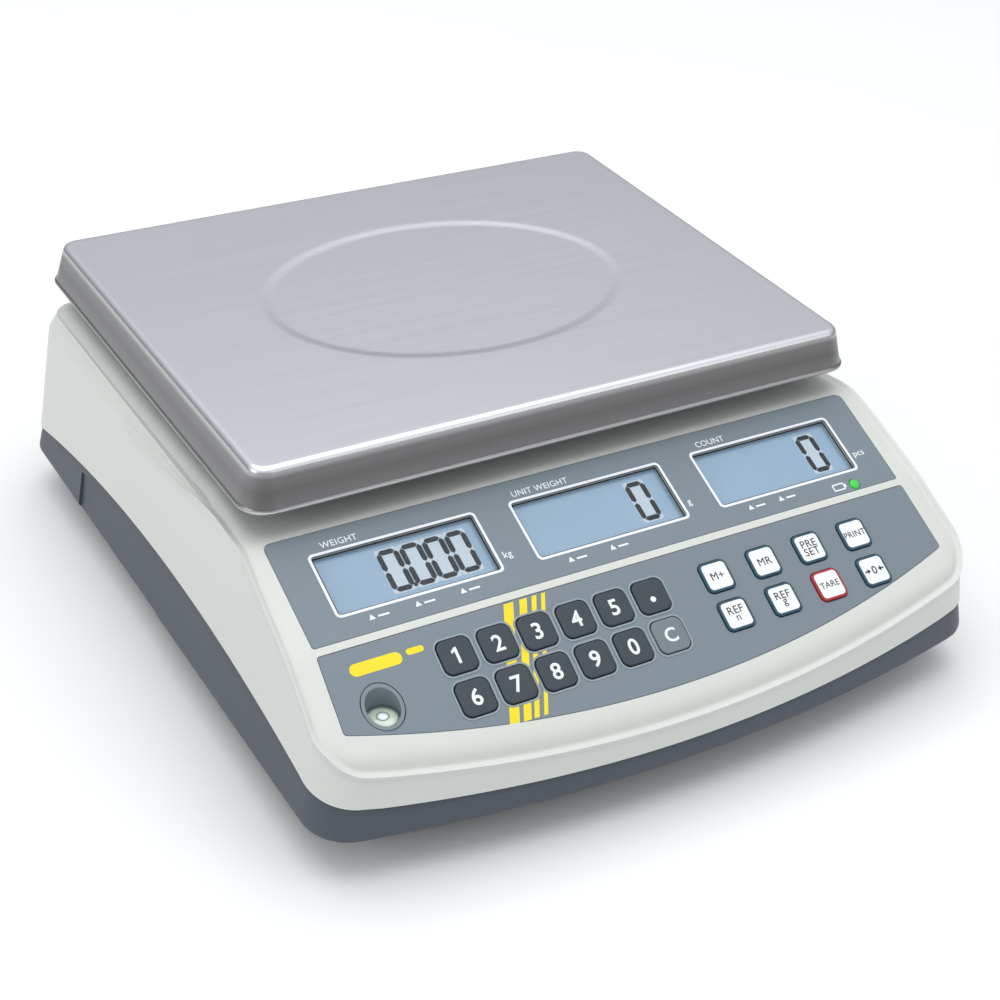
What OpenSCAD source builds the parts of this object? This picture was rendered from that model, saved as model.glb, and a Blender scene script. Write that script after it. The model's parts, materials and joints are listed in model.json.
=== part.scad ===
// Counting scale: a lift-off weighing plate on a single-point load cell, over a two-part
// casing whose sloping front carries three displays and a keypad of twenty keys.
// Origin on the table, under the middle of the casing. +X right, +Y rear, +Z up.

/* [Overall] */
// Width of the casing at its lower edge
body_w = 320; // [310:1:400]
// Depth of the casing from its front bow to its rear bow
body_d = 350; // [335:1:430]
// Height of the weighing plate's top above the table
total_h = 125; // [112:1:160]

/* [Casing] */
// Wall of both casing shells
wall = 3; // [2:0.1:4]
// Height of the casing's underside above the table
base_z = 18.6; // [17:0.1:24]
// Drop from the plate's top to the casing's top
plate_rise = 30; // [27:1:36]
// Lean of the side walls
side_draft = 7; // [3:0.5:9]
// Lean of the rear wall
rear_draft = 4; // [0:0.5:8]
// Lean of the front wall
front_draft = 8; // [3:0.5:10]
// Radius of the bowed front, seen from above
front_bow_r = 703; // [500:1:1200]
// Radius of the bowed rear, seen from above
rear_bow_r = 1100; // [800:1:2000]
// Radius of the front corners, seen from above
front_corner_r = 20; // [12:1:28]
// Radius of the rear corners, seen from above
rear_corner_r = 16; // [16:3:19]

/* [Seam between the casings] */
// Height of the seam at the middle of the front
seam_front_z = 28; // [26:0.1:32]
// Height of the seam's arch at the sides
seam_side_z = 48.4; // [42:0.1:56]
// Radius of the side arch, on a casing of the arch's own depth
seam_side_r = 764; // [600:1:1200]
// Place of the side arch's top, ahead of the middle
seam_top_ahead = 7.5; // [0:0.5:40]
// Depth of casing that the arch's radius belongs to; the arch of a deeper one is flatter
seam_arch_d = 350; // [335:1:380]
// Rise of the locating lip above the seam
lip_h = 3; // [2:0.1:5]
// Thickness of the locating lip
lip_t = 1.5; // [1:0.1:2.5]

/* [Hand grips] */
// Length of the grip recess along each side
grip_l = 95; // [60:1:110]
// Distance of the grips' middle behind the middle of the casing
grip_back = 50.5; // [0:0.5:60]
// Depth of the grip recess
grip_depth = 1.5; // [0.5:0.1:1.8]
// Distance of the recess below the seam
grip_drop = 3.5; // [2:0.1:8]

/* [Front panel] */
// Distance of the panel's top edge behind the front of the casing
panel_setback = 108.7; // [106:0.1:130]
// Slope of the display section
display_tilt = 22.5; // [15:0.5:28]
// Length of the display section down the slope
display_len = 51.4; // [50:0.1:58]
// Slope of the keypad section
keypad_tilt = 29.7; // [27:0.1:34]
// Side margin of casing beside the overlays, at the ridge
bezel_side = 18.7; // [14:0.1:26]
// Extra width of the keypad overlay on each side at its lower end
overlay_flare = 3.7; // [0:0.1:6]
// Length of the keypad overlay down the slope at its middle
keypad_len = 55.8; // [50:0.1:60]
// Radius of the keypad overlay's curved lower edge
overlay_bow_r = 479; // [400:1:900]
// Half width of the bare strip of casing along the ridge
ridge_strip = 1.9; // [1:0.1:4]
// Thickness of the overlays
overlay_t = 0.8; // [0.4:0.1:1.2]
// Depth of the overlays' top below the casing
overlay_sink = 0.2; // [0:0.1:0.5]

/* [Displays] */
// Width of a display window
window_w = 71.5; // [60:0.5:76]
// Height of a display window
window_h = 27.4; // [20:0.2:29]
// Spacing of the windows
window_pitch = 89.8; // [86:0.1:96]
// Distance of the windows' middle below the panel's top edge
window_drop = 25; // [23:0.1:28]
// Thickness of the clear display windows
lens_t = 1.5; // [1:0.1:2]
// Margin of a display module around its window
lcd_margin = 2.6; // [2:0.1:3]
// Thickness of a display module
lcd_t = 7; // [5:0.1:8]
// Thickness of the circuit boards
board_t = 1.6; // [1:0.1:2.4]
// Diameter of the charging light
led_d = 4.8; // [3:0.1:5]
// Place of the charging light right of the middle
led_x = 119.8; // [105:0.1:124]
// Distance of the charging light above the ridge
led_rise = 5; // [5:0.1:6]

/* [Keys] */
// Side of a digit key
digit_key = 14.4; // [12:0.1:15]
// Side of a function key
function_key = 13.6; // [11:0.1:14.5]
// Corner radius of the keys
key_r = 2.8; // [1:0.1:4]
// Spacing of the digit keys' columns
digit_pitch = 17.9; // [17.4:0.1:19]
// Spacing of the function keys' columns
function_pitch = 24; // [18:0.1:25]
// Spacing of the key rows down the slope
row_pitch = 18; // [17.4:0.1:19]
// Distance of the upper key row below the ridge
row_drop = 17.2; // [14:0.1:18]
// Place of the first digit column, left of the middle
digit_left = 88.4; // [80:0.1:92]
// Place of the first function column, right of the middle
function_right = 33.7; // [26:0.1:36]
// Height of the key tops above the casing
key_proud = 0.6; // [0.6:0.1:1.5]
// Width of the retaining flange around a key
flange_w = 0.8; // [0.5:0.1:1]
// Thickness of the retaining flange
flange_t = 0.9; // [0.6:0.1:1.5]
// Height of the spring domes under the keys
dome_h = 1.4; // [1:0.1:2]
// Diameter of the spring domes
dome_d = 8; // [6:0.1:10]

/* [Weighing plate and carrier] */
// Width of the plate at the skirt's lower edge
plate_w = 294; // [260:1:300]
// Depth of the plate at the skirt's lower edge
plate_d = 227; // [200:1:232]
// Height of the plate's skirt
skirt_h = 18; // [12:0.1:20]
// Outward lean of the skirt over its height
skirt_flare = 5.3; // [0:0.1:8]
// Thickness of the plate's sheet
sheet_t = 1; // [0.8:0.1:1.5]
// Corner radius of the plate's top
plate_corner_r = 7; // [6:1:20]
// Distance of the plate's middle ahead of the rear of the casing
plate_back = 127.9; // [120:0.1:140]
// Height of the carrier's rubber pads
pad_h = 9; // [6:0.5:10]
// Diameter of the carrier's rubber pads
pad_d = 16; // [12:1:20]
// Thickness of the carrier casting
carrier_t = 6; // [4:0.5:8]
// Width of the carrier's arms
arm_w = 18; // [16:1:26]
// Distance of the rubber pads inside the plate's skirt
pad_inset = 26; // [20:1:40]

/* [Load cell] */
// Length of the load cell
cell_l = 130; // [120:1:150]
// Width of the load cell
cell_w = 30; // [25:1:40]
// Height of the load cell
cell_h = 22; // [20:1:26]
// Diameter of the strain bores
strain_d = 14; // [10:0.5:16]
// Spacing of the strain bores
strain_pitch = 34; // [24:1:40]
// Length of each clamped end of the load cell
clamp_l = 30; // [24:1:34]
// Height of the pillar between the load cell and the carrier
pillar_h = 36; // [30:1:38]
// Diameter of the load cell bolts
bolt_d = 6; // [5:0.5:8]
// Spacing of each pair of load cell bolts
bolt_pitch = 14; // [13:1:18]
// Clearance round the pillar where it passes the casing
pillar_gap = 4; // [2:0.5:6]
// Height of the splash collar round that opening
collar_h = 4; // [2:0.5:8]
// Gap under the load cell's free end before it meets its stop
stop_gap = 0.8; // [0.6:0.1:1.5]
// Thickness of the chassis plate
chassis_t = 4; // [3:0.5:6]
// Width of the chassis plate
chassis_w = 180; // [160:1:200]
// Depth of the chassis plate
chassis_d = 60; // [50:1:66]

/* [Feet] */
// Distance of the feet inside the sides of the casing
foot_inset_x = 35; // [32:1:50]
// Distance of the front feet behind the front of the casing
foot_inset_front = 57; // [50:1:70]
// Distance of the rear feet ahead of the rear of the casing
foot_inset_rear = 50; // [45:1:60]
// Diameter of the rubber foot pads
foot_pad_d = 28; // [22:1:34]
// Height of the rubber foot pads
foot_pad_h = 8; // [6:0.5:9]
// Diameter of the levelling wheels
foot_wheel_d = 24; // [18:1:30]
// Thickness of the levelling wheels
foot_wheel_h = 4; // [3:0.5:4.5]
// Diameter of the levelling studs
stud_d = 8; // [6:0.5:10]
// Height of the levelling studs above their wheels
stud_h = 20; // [16:0.5:22]

/* [Power and sockets] */
// Length of the rechargeable battery
battery_l = 101; // [80:1:105]
// Width of the rechargeable battery
battery_w = 70; // [50:1:72]
// Height of the rechargeable battery
battery_h = 47; // [30:1:48]
// Distance of the battery's middle ahead of the rear of the casing
battery_back = 55; // [52:1:58]
// Thickness of the battery cover
cover_t = 1.6; // [1.2:0.1:2]
// Length of the power switch's opening
switch_l = 19; // [17:0.5:24]
// Width of the power switch's opening
switch_w = 13; // [11:0.5:16]
// Depth of the power switch's body
switch_h = 16; // [14:0.5:20]
// Throw of the power switch's rocker
switch_throw = 18; // [12:1:20]
// Distance of the power switch inside the right side
switch_inset = 40; // [32:1:50]
// Distance of the power switch behind the front
switch_setback = 115; // [100:1:125]
// Bore of the mains adapter jack
jack_d = 6.4; // [5.5:0.1:7]
// Diameter of the jack's middle pin
jack_pin_d = 2.1; // [1.6:0.1:2.5]
// Place of the jack right of the middle
jack_x = 68; // [64:1:72]
// Place of the serial socket right of the middle
serial_x = 97; // [90:1:99]
// Height of both sockets above the table
socket_z = 46; // [43:1:56]

/* [Spirit level] */
// Place of the spirit level left of the middle
level_left = 124.7; // [116:0.1:126]
// Distance of the spirit level below the ridge
level_drop = 27.5; // [24:0.1:29]
// Diameter of the spirit level's well
level_d = 13.6; // [12:0.1:16]
// Height of the spirit level's vial
vial_h = 6.5; // [5:0.1:8]

/* [Fits] */
// Gap round each key in the overlay and the casing
key_gap = 0.35; // [0.3:0.05:0.5]
// Gap round pieces that sit in an opening
fit_gap = 0.3; // [0.2:0.05:0.5]
// Radial gap round bolts, studs and screws
bolt_gap = 0.3; // [0.25:0.05:0.5]

/* [Hidden] */
$fn = 48;
bow_fn = 360;
corner_fn = 96;
far = 1000;

digit_keys = ["key_1", "key_2", "key_3", "key_4", "key_5", "key_point",
    "key_6", "key_7", "key_8", "key_9", "key_0", "key_clear"];
function_keys = ["key_memory_add", "key_memory_recall", "key_preset", "key_print",
    "key_ref_count", "key_ref_weight", "key_tare", "key_zero"];
corners = ["front_left", "front_right", "rear_left", "rear_right"];
digit_columns = 6;
function_columns = 4;

casing_z = total_h - plate_rise;
front_y = -body_d / 2;
rear_y = body_d / 2;
panel_y = front_y + panel_setback;
ridge_y = panel_y - display_len * cos(display_tilt);
ridge_z = casing_z - display_len * sin(display_tilt);
panel_half = body_w / 2 - bezel_side;
floor_z = base_z + wall;
plate_y = rear_y - plate_back;

// Side outline of the casing: [y, z] points, anticlockwise from the front's lower edge.
front_run = (ridge_z - base_z - (ridge_y - front_y) * tan(keypad_tilt))
    / (1 - tan(front_draft) * tan(keypad_tilt));
side_outline = [[front_y, base_z], [rear_y, base_z],
    [rear_y - (casing_z - base_z) * tan(rear_draft), casing_z], [panel_y, casing_z],
    [ridge_y, ridge_z], [front_y + front_run * tan(front_draft), base_z + front_run]];
width_outline = [[-body_w / 2, base_z], [body_w / 2, base_z],
    [body_w / 2 - (casing_z - base_z) * tan(side_draft), casing_z],
    [-body_w / 2 + (casing_z - base_z) * tan(side_draft), casing_z]];

// The seam: an arch from front to rear, with a shallow sag instead across the middle of the front.
seam_band_x = body_w / 2 - front_corner_r;
arch_r = seam_side_r * pow(body_d / seam_arch_d, 2);
seam_axis_z = seam_side_z - arch_r;
function bow_y(x) = front_y + front_bow_r - sqrt(pow(front_bow_r, 2) - x * x);
function rear_bow_y(x) = rear_y - rear_bow_r + sqrt(pow(rear_bow_r, 2) - x * x);
function arch_z(y) = seam_axis_z + sqrt(pow(arch_r, 2) - pow(y + seam_top_ahead, 2));
seam_rise = arch_z(bow_y(seam_band_x)) - seam_front_z;
seam_sag_r = (pow(seam_band_x, 2) + pow(seam_rise, 2)) / (2 * seam_rise);

// Layers of the front panel, measured inwards from the casing's surface.
overlay_seat = overlay_sink + overlay_t;
flange_gap = 0.1;
key_bottom = wall + flange_gap + flange_t;
keypad_board_n = key_bottom + dome_h;
display_board_n = wall + lcd_t;
keypad_board_top = row_drop - digit_key / 2 - 3;
keypad_board_len = row_pitch + digit_key + 6;
display_board_top = 4.4;
display_board_len = display_len - display_board_top - 3;
display_board_half = panel_half - 9;
keypad_board_left = digit_left + digit_key / 2 + 8;
keypad_board_right = function_right + (function_columns - 1) * function_pitch + function_key / 2 + 8;
stake_d = 2.8;
stake_tip = 0.8;
post_d = 6;
keypad_post_x = [3.5 - keypad_board_left,
    (digit_key / 2 + (digit_columns - 1) * digit_pitch - digit_left + function_right - function_key / 2) / 2,
    keypad_board_right - 3.5];
keypad_post_y = [-keypad_board_top - 4, -keypad_board_top - keypad_board_len + 3.6];
display_post_x = [for (i = [-1.5 : 1.5]) i * window_pitch * 0.985];
display_post_y = [-10, -display_len + 12];

// Weighing plate, carrier and load cell, from the top down.
plate_under = total_h - sheet_t;
carrier_z = plate_under - pad_h - carrier_t;
cell_top = carrier_z - pillar_h;
cell_bottom = cell_top - cell_h;
bolt_head_h = 4;
bolt_head_d = bolt_d * 1.6;
chassis_z = floor_z + bolt_head_h + 1;
chassis_top = chassis_z + chassis_t;
clamp_x = cell_l / 2 - clamp_l / 2;
bolt_depth = 14;
pad_x = plate_w / 2 - skirt_flare - pad_inset;
pad_y = plate_d / 2 - skirt_flare - pad_inset;
hub_w = cell_l + 4;
hub_d = cell_w + 20;
stop_d = 6;

// Screws, bosses and posts between the casings.
screw_d = 4;
screw_head_d = 7.5;
screw_head_h = 3;
boss_d = 9;
split_z = min(40, casing_z - 40);
chassis_screw_d = 3.4;
chassis_screw_x = chassis_w / 2 - 8;
chassis_screw_y = chassis_d / 2 - 8;
screw_places = [[seam_band_x + 4, bow_y(seam_band_x) + 21], [body_w / 2 - 15, 10],
    [seam_band_x - 9, rear_y - 25]];
screw_bite = 12;
cover_margin = 8;
cover_screw_x = battery_l / 2 + fit_gap + 4;

// Battery, board, switch and sockets.
battery_y = rear_y - battery_back;
battery_z = base_z + cover_t + 0.4;
cell_wall = 2;
cradle_h = 24;
main_board_size = [140, 62];
cable_plug_h = 7;
// Parts on the main board, the last one the cable's plug: place of a corner [x, y] and size [x, y, z].
board_parts = [[-40, -12, 28, 24, 3], [20, -14, 30, 22, 9],
    [8 - main_board_size[0] / 2, 10, 12, 10, cable_plug_h]];
main_board_y = plate_y - chassis_d / 2 - 24 - main_board_size[1] / 2;
main_board_z = floor_z + 8;
cable_d = 4;
ribbon_w = 30;
ribbon_drop = 30;
standoff_x = main_board_size[0] / 2 - 5;
standoff_y = main_board_size[1] / 2 - 5;
switch_x = body_w / 2 - switch_inset;
switch_y = front_y + switch_setback;
switch_flange = 2;
switch_wall = 1.5;
rocker_gap = 0.5;
pocket_depth = 2.5;
pocket_y = rear_bow_y(serial_x + 18) - (socket_z - base_z) * tan(rear_draft) - pocket_depth;
pocket_x = (jack_x + serial_x) / 2 + 3;
pocket_w = serial_x - jack_x + 30;
pocket_h = 20;
jack_body = [12, 11];
serial_shell = [19, 10.5];
serial_flange = [31, 12.6];

level_y = ridge_y - level_drop * cos(keypad_tilt);
level_z = ridge_z - level_drop * sin(keypad_tilt);
cup_wall = 1.6;
cup_floor_z = level_z - level_d / 2 * tan(keypad_tilt) - vial_h - 1.6;

foot_y = [front_y + foot_inset_front, rear_y - foot_inset_rear];
foot_boss_d = stud_d + 10;
foot_boss_h = 12;

// Inward offset of a corner b between neighbours a and c of an anticlockwise outline.
function unit(v) = v / norm(v);
function inward(a, b) = [-(b - a)[1], (b - a)[0]] / norm(b - a);
function inset_point(a, b, c, t) =
    b + t * (inward(a, b) + inward(b, c)) / (1 + inward(a, b) * inward(b, c));
function inset_outline(p, t) =
    [for (i = [0 : len(p) - 1]) inset_point(p[(i + len(p) - 1) % len(p)], p[i], p[(i + 1) % len(p)], t)];

module rounded(size, r) {
    square([size[0], size[1] - 2 * r], center = true);
    square([size[0] - 2 * r, size[1]], center = true);
    for (sx = [-1, 1], sy = [-1, 1])
        translate([sx * (size[0] / 2 - r), sy * (size[1] / 2 - r)]) circle(r = r);
}

module on_display() {
    translate([0, panel_y, casing_z]) rotate([display_tilt, 0, 0]) children();
}

module on_keypad() {
    translate([0, ridge_y, ridge_z]) rotate([keypad_tilt, 0, 0]) children();
}

// Moves its child to each window's middle, on the display section.
module at_windows() {
    for (i = [-1 : 1]) translate([i * window_pitch, -window_drop, 0]) children();
}

// Height of a corner's centre, where a corner of radius r joins a bow at an end of the casing.
function corner_y(bow_r, bow_middle, end, r) =
    bow_middle + end * sqrt(pow(bow_r - r, 2) - pow(body_w / 2 - r, 2));

// The wedge outside a corner's centre, which its round replaces.
module plan_corner(side, bow_r, bow_middle, end, r) {
    cx = body_w / 2 - r;
    cy = corner_y(bow_r, bow_middle, end, r);
    d = unit([cx, cy - bow_middle]);
    reach = 2.2 * r;
    polygon([[side * cx, cy], [side * (cx + reach), cy], [side * (cx + reach), cy + end * reach],
        [side * (cx + d[0] * reach), cy + d[1] * reach]]);
}

module plan_corner_round(side, bow_r, bow_middle, end, r, inset) {
    translate([side * (body_w / 2 - r), corner_y(bow_r, bow_middle, end, r)])
        circle(r = r - inset, $fn = corner_fn);
}

// Plan outline of the casing, inset all round: two bowed ends and four round corners.
module plan(inset) {
    front_middle = front_y + front_bow_r;
    rear_middle = rear_y - rear_bow_r;
    difference() {
        intersection() {
            square([body_w - 2 * inset, body_d + 2], center = true);
            translate([0, front_middle]) circle(r = front_bow_r - inset, $fn = bow_fn);
            translate([0, rear_middle]) circle(r = rear_bow_r - inset, $fn = bow_fn);
        }
        for (side = [-1, 1]) {
            plan_corner(side, front_bow_r, front_middle, -1, front_corner_r);
            plan_corner(side, rear_bow_r, rear_middle, 1, rear_corner_r);
        }
    }
    for (side = [-1, 1]) {
        plan_corner_round(side, front_bow_r, front_middle, -1, front_corner_r, inset);
        plan_corner_round(side, rear_bow_r, rear_middle, 1, rear_corner_r, inset);
    }
}

// Solid inside of the casing's outer surface, moved inwards by an inset.
module casing_form(inset) {
    intersection() {
        linear_extrude(casing_z + 10) plan(inset);
        rotate([90, 0, 90]) linear_extrude(2 * body_w, center = true)
            polygon(inset_outline(side_outline, inset));
        rotate([90, 0, 0]) linear_extrude(2 * body_d, center = true)
            polygon(inset_outline(width_outline, inset));
    }
}

// Everything below the seam, raised by an amount.
module below_seam(raise) {
    translate([0, 0, raise]) {
        difference() {
            rotate([90, 0, 90]) linear_extrude(2 * body_w, center = true) intersection() {
                translate([-seam_top_ahead, seam_axis_z]) circle(r = arch_r, $fn = bow_fn);
                translate([-body_d, -10]) square([2 * body_d, far]);
            }
            translate([-seam_band_x, -2 * body_d, -20]) cube([2 * seam_band_x, 2 * body_d, far]);
        }
        rotate([90, 0, 0]) linear_extrude(body_d) difference() {
            translate([-seam_band_x, -10]) square([2 * seam_band_x, seam_rise + seam_front_z + 20]);
            translate([0, seam_front_z + seam_sag_r]) circle(r = seam_sag_r, $fn = bow_fn);
        }
    }
}

module at_screws() {
    for (side = [-1, 1], place = screw_places) translate([side * place[0], place[1], 0]) children();
}

module at_keys(names) {
    for (i = [0 : len(names) - 1]) translate(key_place(names, i)) children();
}

function grid_place(first_x, pitch, columns, i) =
    [first_x + (i % columns) * pitch, -row_drop - floor(i / columns) * row_pitch, 0];
function key_place(names, i) = len(names) == len(digit_keys)
    ? grid_place(-digit_left, digit_pitch, digit_columns, i)
    : grid_place(function_right, function_pitch, function_columns, i);

// Openings for the keys, in the casing and in the overlay.
module key_openings() {
    for (group = [[digit_keys, digit_key + 2 * key_gap], [function_keys, function_key + 2 * key_gap]])
        at_keys(group[0]) rounded([group[1], group[1]], key_r + key_gap);
}

// Outline of the keypad overlay on its slope, grown by an amount.
module keypad_outline(grow) {
    low = keypad_len + 6;
    intersection() {
        polygon([[-panel_half - grow, -ridge_strip + grow], [panel_half + grow, -ridge_strip + grow],
            [panel_half + overlay_flare + grow, -low], [-panel_half - overlay_flare - grow, -low]]);
        translate([0, overlay_bow_r - keypad_len]) circle(r = overlay_bow_r + grow, $fn = bow_fn);
    }
}

module display_outline(grow) {
    translate([-panel_half - grow, -display_len + ridge_strip - grow])
        square([2 * (panel_half + grow), display_len - ridge_strip + 2 * grow - 0.4]);
}

module level_bore(d) {
    translate([-level_left, level_y, 0]) cylinder(d = d, h = casing_z);
}

module pocket_box(grow) {
    translate([pocket_x - pocket_w / 2 - grow, pocket_y - grow, socket_z - pocket_h / 2 - grow])
        cube([pocket_w + 2 * grow, 30, pocket_h + 2 * grow]);
}

// Moves its children to the posts that hold a board, with +Z pointing into the casing.
module at_display_posts() {
    for (x = display_post_x, y = display_post_y) translate([x, y, 0]) mirror([0, 0, 1]) children();
}

module at_keypad_posts() {
    for (x = keypad_post_x, y = keypad_post_y) translate([x, y, 0]) mirror([0, 0, 1]) children();
}

// Post that carries a circuit board at a height, with a stake through the board.
module board_post(root, d, board) {
    rotate_extrude() polygon([[0, root], [d / 2, root], [d / 2, board], [stake_d / 2, board],
        [stake_d / 2, board + board_t + stake_tip], [0, board + board_t + stake_tip]]);
}

// Square box round the load cell's pillar, grown by an amount, from a height z.
module pillar_box(grow, z, h) {
    side = cell_w + 2 * (pillar_gap + grow);
    translate([clamp_x - side / 2, plate_y - side / 2, z]) cube([side, side, h]);
}

module upper_casing() {
    color([0.86, 0.88, 0.86]) difference() {
        union() {
            difference() {
                casing_form(0);
                casing_form(wall);
                below_seam(0);
            }
            intersection() {
                casing_form(wall - 0.6);
                union() {
                    at_screws() translate([0, 0, split_z]) cylinder(d = boss_d, h = far);
                    on_display() at_display_posts() board_post(wall - 0.6, post_d, display_board_n);
                    on_keypad() at_keypad_posts() board_post(wall - 0.6, post_d - 1, keypad_board_n);
                    difference() {
                        pocket_box(wall);
                        translate([0, 0, -far]) below_seam(lip_h + 1 + far);
                    }
                }
            }
            pillar_box(wall, casing_z - wall, wall + collar_h);
        }
        pillar_box(0, casing_z - 2 * wall, far);
        on_display() translate([0, 0, -overlay_seat]) linear_extrude(5) display_outline(fit_gap);
        on_keypad() translate([0, 0, -overlay_seat]) linear_extrude(5) keypad_outline(fit_gap);
        on_display() translate([0, 0, -2 * wall]) linear_extrude(4 * wall)
            at_windows() square([window_w, window_h], center = true);
        on_display() translate([led_x, -display_len + led_rise, -2 * wall])
            cylinder(d = led_d + 2 * fit_gap, h = 4 * wall);
        on_keypad() translate([0, 0, -2 * wall]) linear_extrude(4 * wall) key_openings();
        level_bore(level_d + 2 * cup_wall + 2 * fit_gap);
        at_screws() translate([0, 0, split_z - 1]) cylinder(d = screw_d + 2 * bolt_gap, h = screw_bite + 2);
        pocket_box(0);
        for (socket = [[jack_x, jack_body], [serial_x, serial_shell]])
            translate([socket[0], pocket_y, socket_z])
                cube([socket[1][0] + 2 * fit_gap, 4 * wall, socket[1][1] + 2 * fit_gap], center = true);
    }
}

module battery_opening(grow, h) {
    translate([-battery_l / 2 - grow, battery_y - battery_w / 2 - grow, 0])
        cube([battery_l + 2 * grow, battery_w + 2 * grow, h]);
}

module at_chassis_screws() {
    for (sx = [-1, 1], sy = [-1, 1])
        translate([sx * chassis_screw_x, plate_y + sy * chassis_screw_y, 0]) children();
}

module at_standoffs() {
    for (sx = [-1, 1], sy = [-1, 1]) translate([sx * standoff_x, main_board_y + sy * standoff_y, 0]) children();
}

module at_feet() {
    for (side = [-1, 1], y = foot_y) translate([side * (body_w / 2 - foot_inset_x), y, 0]) children();
}

// Recess for the fingers in each side of the lower casing, open at the bottom and parallel to the leaning wall.
module grips() {
    intersection() {
        for (side = [-1, 1])
            translate([side * body_w / 2, grip_back, base_z]) rotate([0, -side * side_draft, 0])
                translate([-grip_depth, -grip_l / 2, -wall]) cube([2 * grip_depth, grip_l, seam_side_z]);
        below_seam(-grip_drop);
    }
}

// Space inside the locating lip, down to the floor.
module lip_core() {
    casing_form(wall + fit_gap + lip_t);
    translate([0, 0, -fit_gap - lip_t]) casing_form(wall + fit_gap + lip_t);
}

module lower_casing() {
    color([0.45, 0.49, 0.53]) difference() {
        union() {
            difference() {
                intersection() {
                    casing_form(0);
                    below_seam(0);
                }
                difference() {
                    casing_form(wall);
                    translate([-far / 2, -far / 2, 0]) cube([far, far, floor_z]);
                }
            }
            intersection() {
                difference() {
                    casing_form(wall - 0.6);
                    lip_core();
                }
                below_seam(-1);
            }
            intersection() {
                difference() {
                    casing_form(wall + fit_gap);
                    lip_core();
                }
                below_seam(lip_h);
            }
            at_screws() translate([0, 0, base_z]) cylinder(d = boss_d, h = split_z - base_z);
            at_feet() translate([0, 0, base_z]) cylinder(d = foot_boss_d, h = foot_boss_h);
            at_chassis_screws() translate([0, 0, base_z]) cylinder(d = boss_d, h = chassis_z - base_z);
            at_standoffs() translate([0, 0, base_z]) board_post(0, post_d, main_board_z - base_z);
            translate([0, 0, base_z]) difference() {
                battery_opening(fit_gap + cell_wall, cradle_h);
                translate([0, 0, -1]) battery_opening(fit_gap, cradle_h + 2);
            }
            for (side = [-1, 1])
                translate([side * cover_screw_x, battery_y, base_z]) cylinder(d = boss_d, h = cradle_h / 2);
        }
        at_screws() translate([0, 0, base_z - 1]) {
            cylinder(d = screw_d + 2 * bolt_gap, h = far);
            cylinder(d = screw_head_d + 2 * bolt_gap, h = 1 + screw_head_h);
        }
        grips();
        at_feet() cylinder(d = stud_d + 2 * bolt_gap, h = far);
        at_chassis_screws() cylinder(d = chassis_screw_d - bolt_gap - 0.1, h = far);
        translate([0, 0, base_z - 1]) battery_opening(fit_gap, far);
        translate([0, 0, base_z - 1]) battery_opening(cover_margin + fit_gap, 1 + cover_t);
        for (side = [-1, 1])
            translate([side * cover_screw_x, battery_y, base_z]) cylinder(d = screw_d + 2 * bolt_gap, h = far);
        translate([switch_x, switch_y, base_z])
            cube([switch_l + 2 * fit_gap, switch_w + 2 * fit_gap, far], center = true);
    }
}

module screw(head_z, length) {
    translate([0, 0, head_z]) {
        difference() {
            cylinder(d = screw_head_d, h = screw_head_h - 0.4);
            translate([-0.6, -2.4, -1]) cube([1.2, 4.8, 2.2]);
            translate([-2.4, -0.6, -1]) cube([4.8, 1.2, 2.2]);
        }
        cylinder(d = screw_d, h = length);
    }
}

module case_screws() {
    color([0.6, 0.6, 0.6]) {
        at_screws() screw(base_z + 0.4, split_z - base_z + screw_bite - 2);
        for (side = [-1, 1])
            translate([side * cover_screw_x, battery_y, 0]) screw(base_z - screw_head_h + 0.4, cradle_h / 2 + 1);
    }
}

module display_overlay() {
    color([0.48, 0.53, 0.56]) on_display() translate([0, 0, -overlay_seat])
        linear_extrude(overlay_t) difference() {
            display_outline(0);
            at_windows() square([window_w, window_h], center = true);
            translate([led_x, -display_len + led_rise]) circle(d = led_d + 2 * fit_gap);
        }
}

module keypad_overlay() {
    color([0.48, 0.53, 0.56]) difference() {
        on_keypad() translate([0, 0, -overlay_seat]) linear_extrude(overlay_t) difference() {
            keypad_outline(0);
            key_openings();
        }
        level_bore(level_d + 2 * cup_wall + 2 * fit_gap);
    }
}

module display_lenses() {
    color([0.8, 0.88, 0.95]) on_display() translate([0, 0, -wall]) linear_extrude(lens_t)
        at_windows() square([window_w - 2 * fit_gap, window_h - 2 * fit_gap], center = true);
}

module lcd_modules() {
    color([0.62, 0.73, 0.82]) on_display() translate([0, 0, -display_board_n]) linear_extrude(lcd_t)
        at_windows() square([window_w + 2 * lcd_margin, window_h + 2 * lcd_margin], center = true);
}

module display_board() {
    color([0.1, 0.4, 0.2]) on_display() difference() {
        translate([-display_board_half, -display_board_top - display_board_len, -display_board_n - board_t])
            cube([2 * display_board_half, display_board_len, board_t]);
        at_display_posts() cylinder(d = stake_d + 2 * bolt_gap, h = display_board_n + 2 * board_t);
    }
}

module charge_led() {
    color([0.3, 0.7, 0.3]) on_display() translate([led_x, -display_len + led_rise, -display_board_n])
        cylinder(d = led_d, h = display_board_n);
}

module keypad_board() {
    color([0.1, 0.4, 0.2]) on_keypad() difference() {
        translate([-keypad_board_left, -keypad_board_top - keypad_board_len, -keypad_board_n - board_t])
            cube([keypad_board_left + keypad_board_right, keypad_board_len, board_t]);
        at_keypad_posts() cylinder(d = stake_d + 2 * bolt_gap, h = keypad_board_n + 2 * board_t);
    }
}

module key_domes() {
    color([0.85, 0.85, 0.8]) on_keypad() translate([0, 0, -keypad_board_n]) {
        at_keys(digit_keys) cylinder(d = dome_d, h = dome_h);
        at_keys(function_keys) cylinder(d = dome_d, h = dome_h);
    }
}

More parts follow.
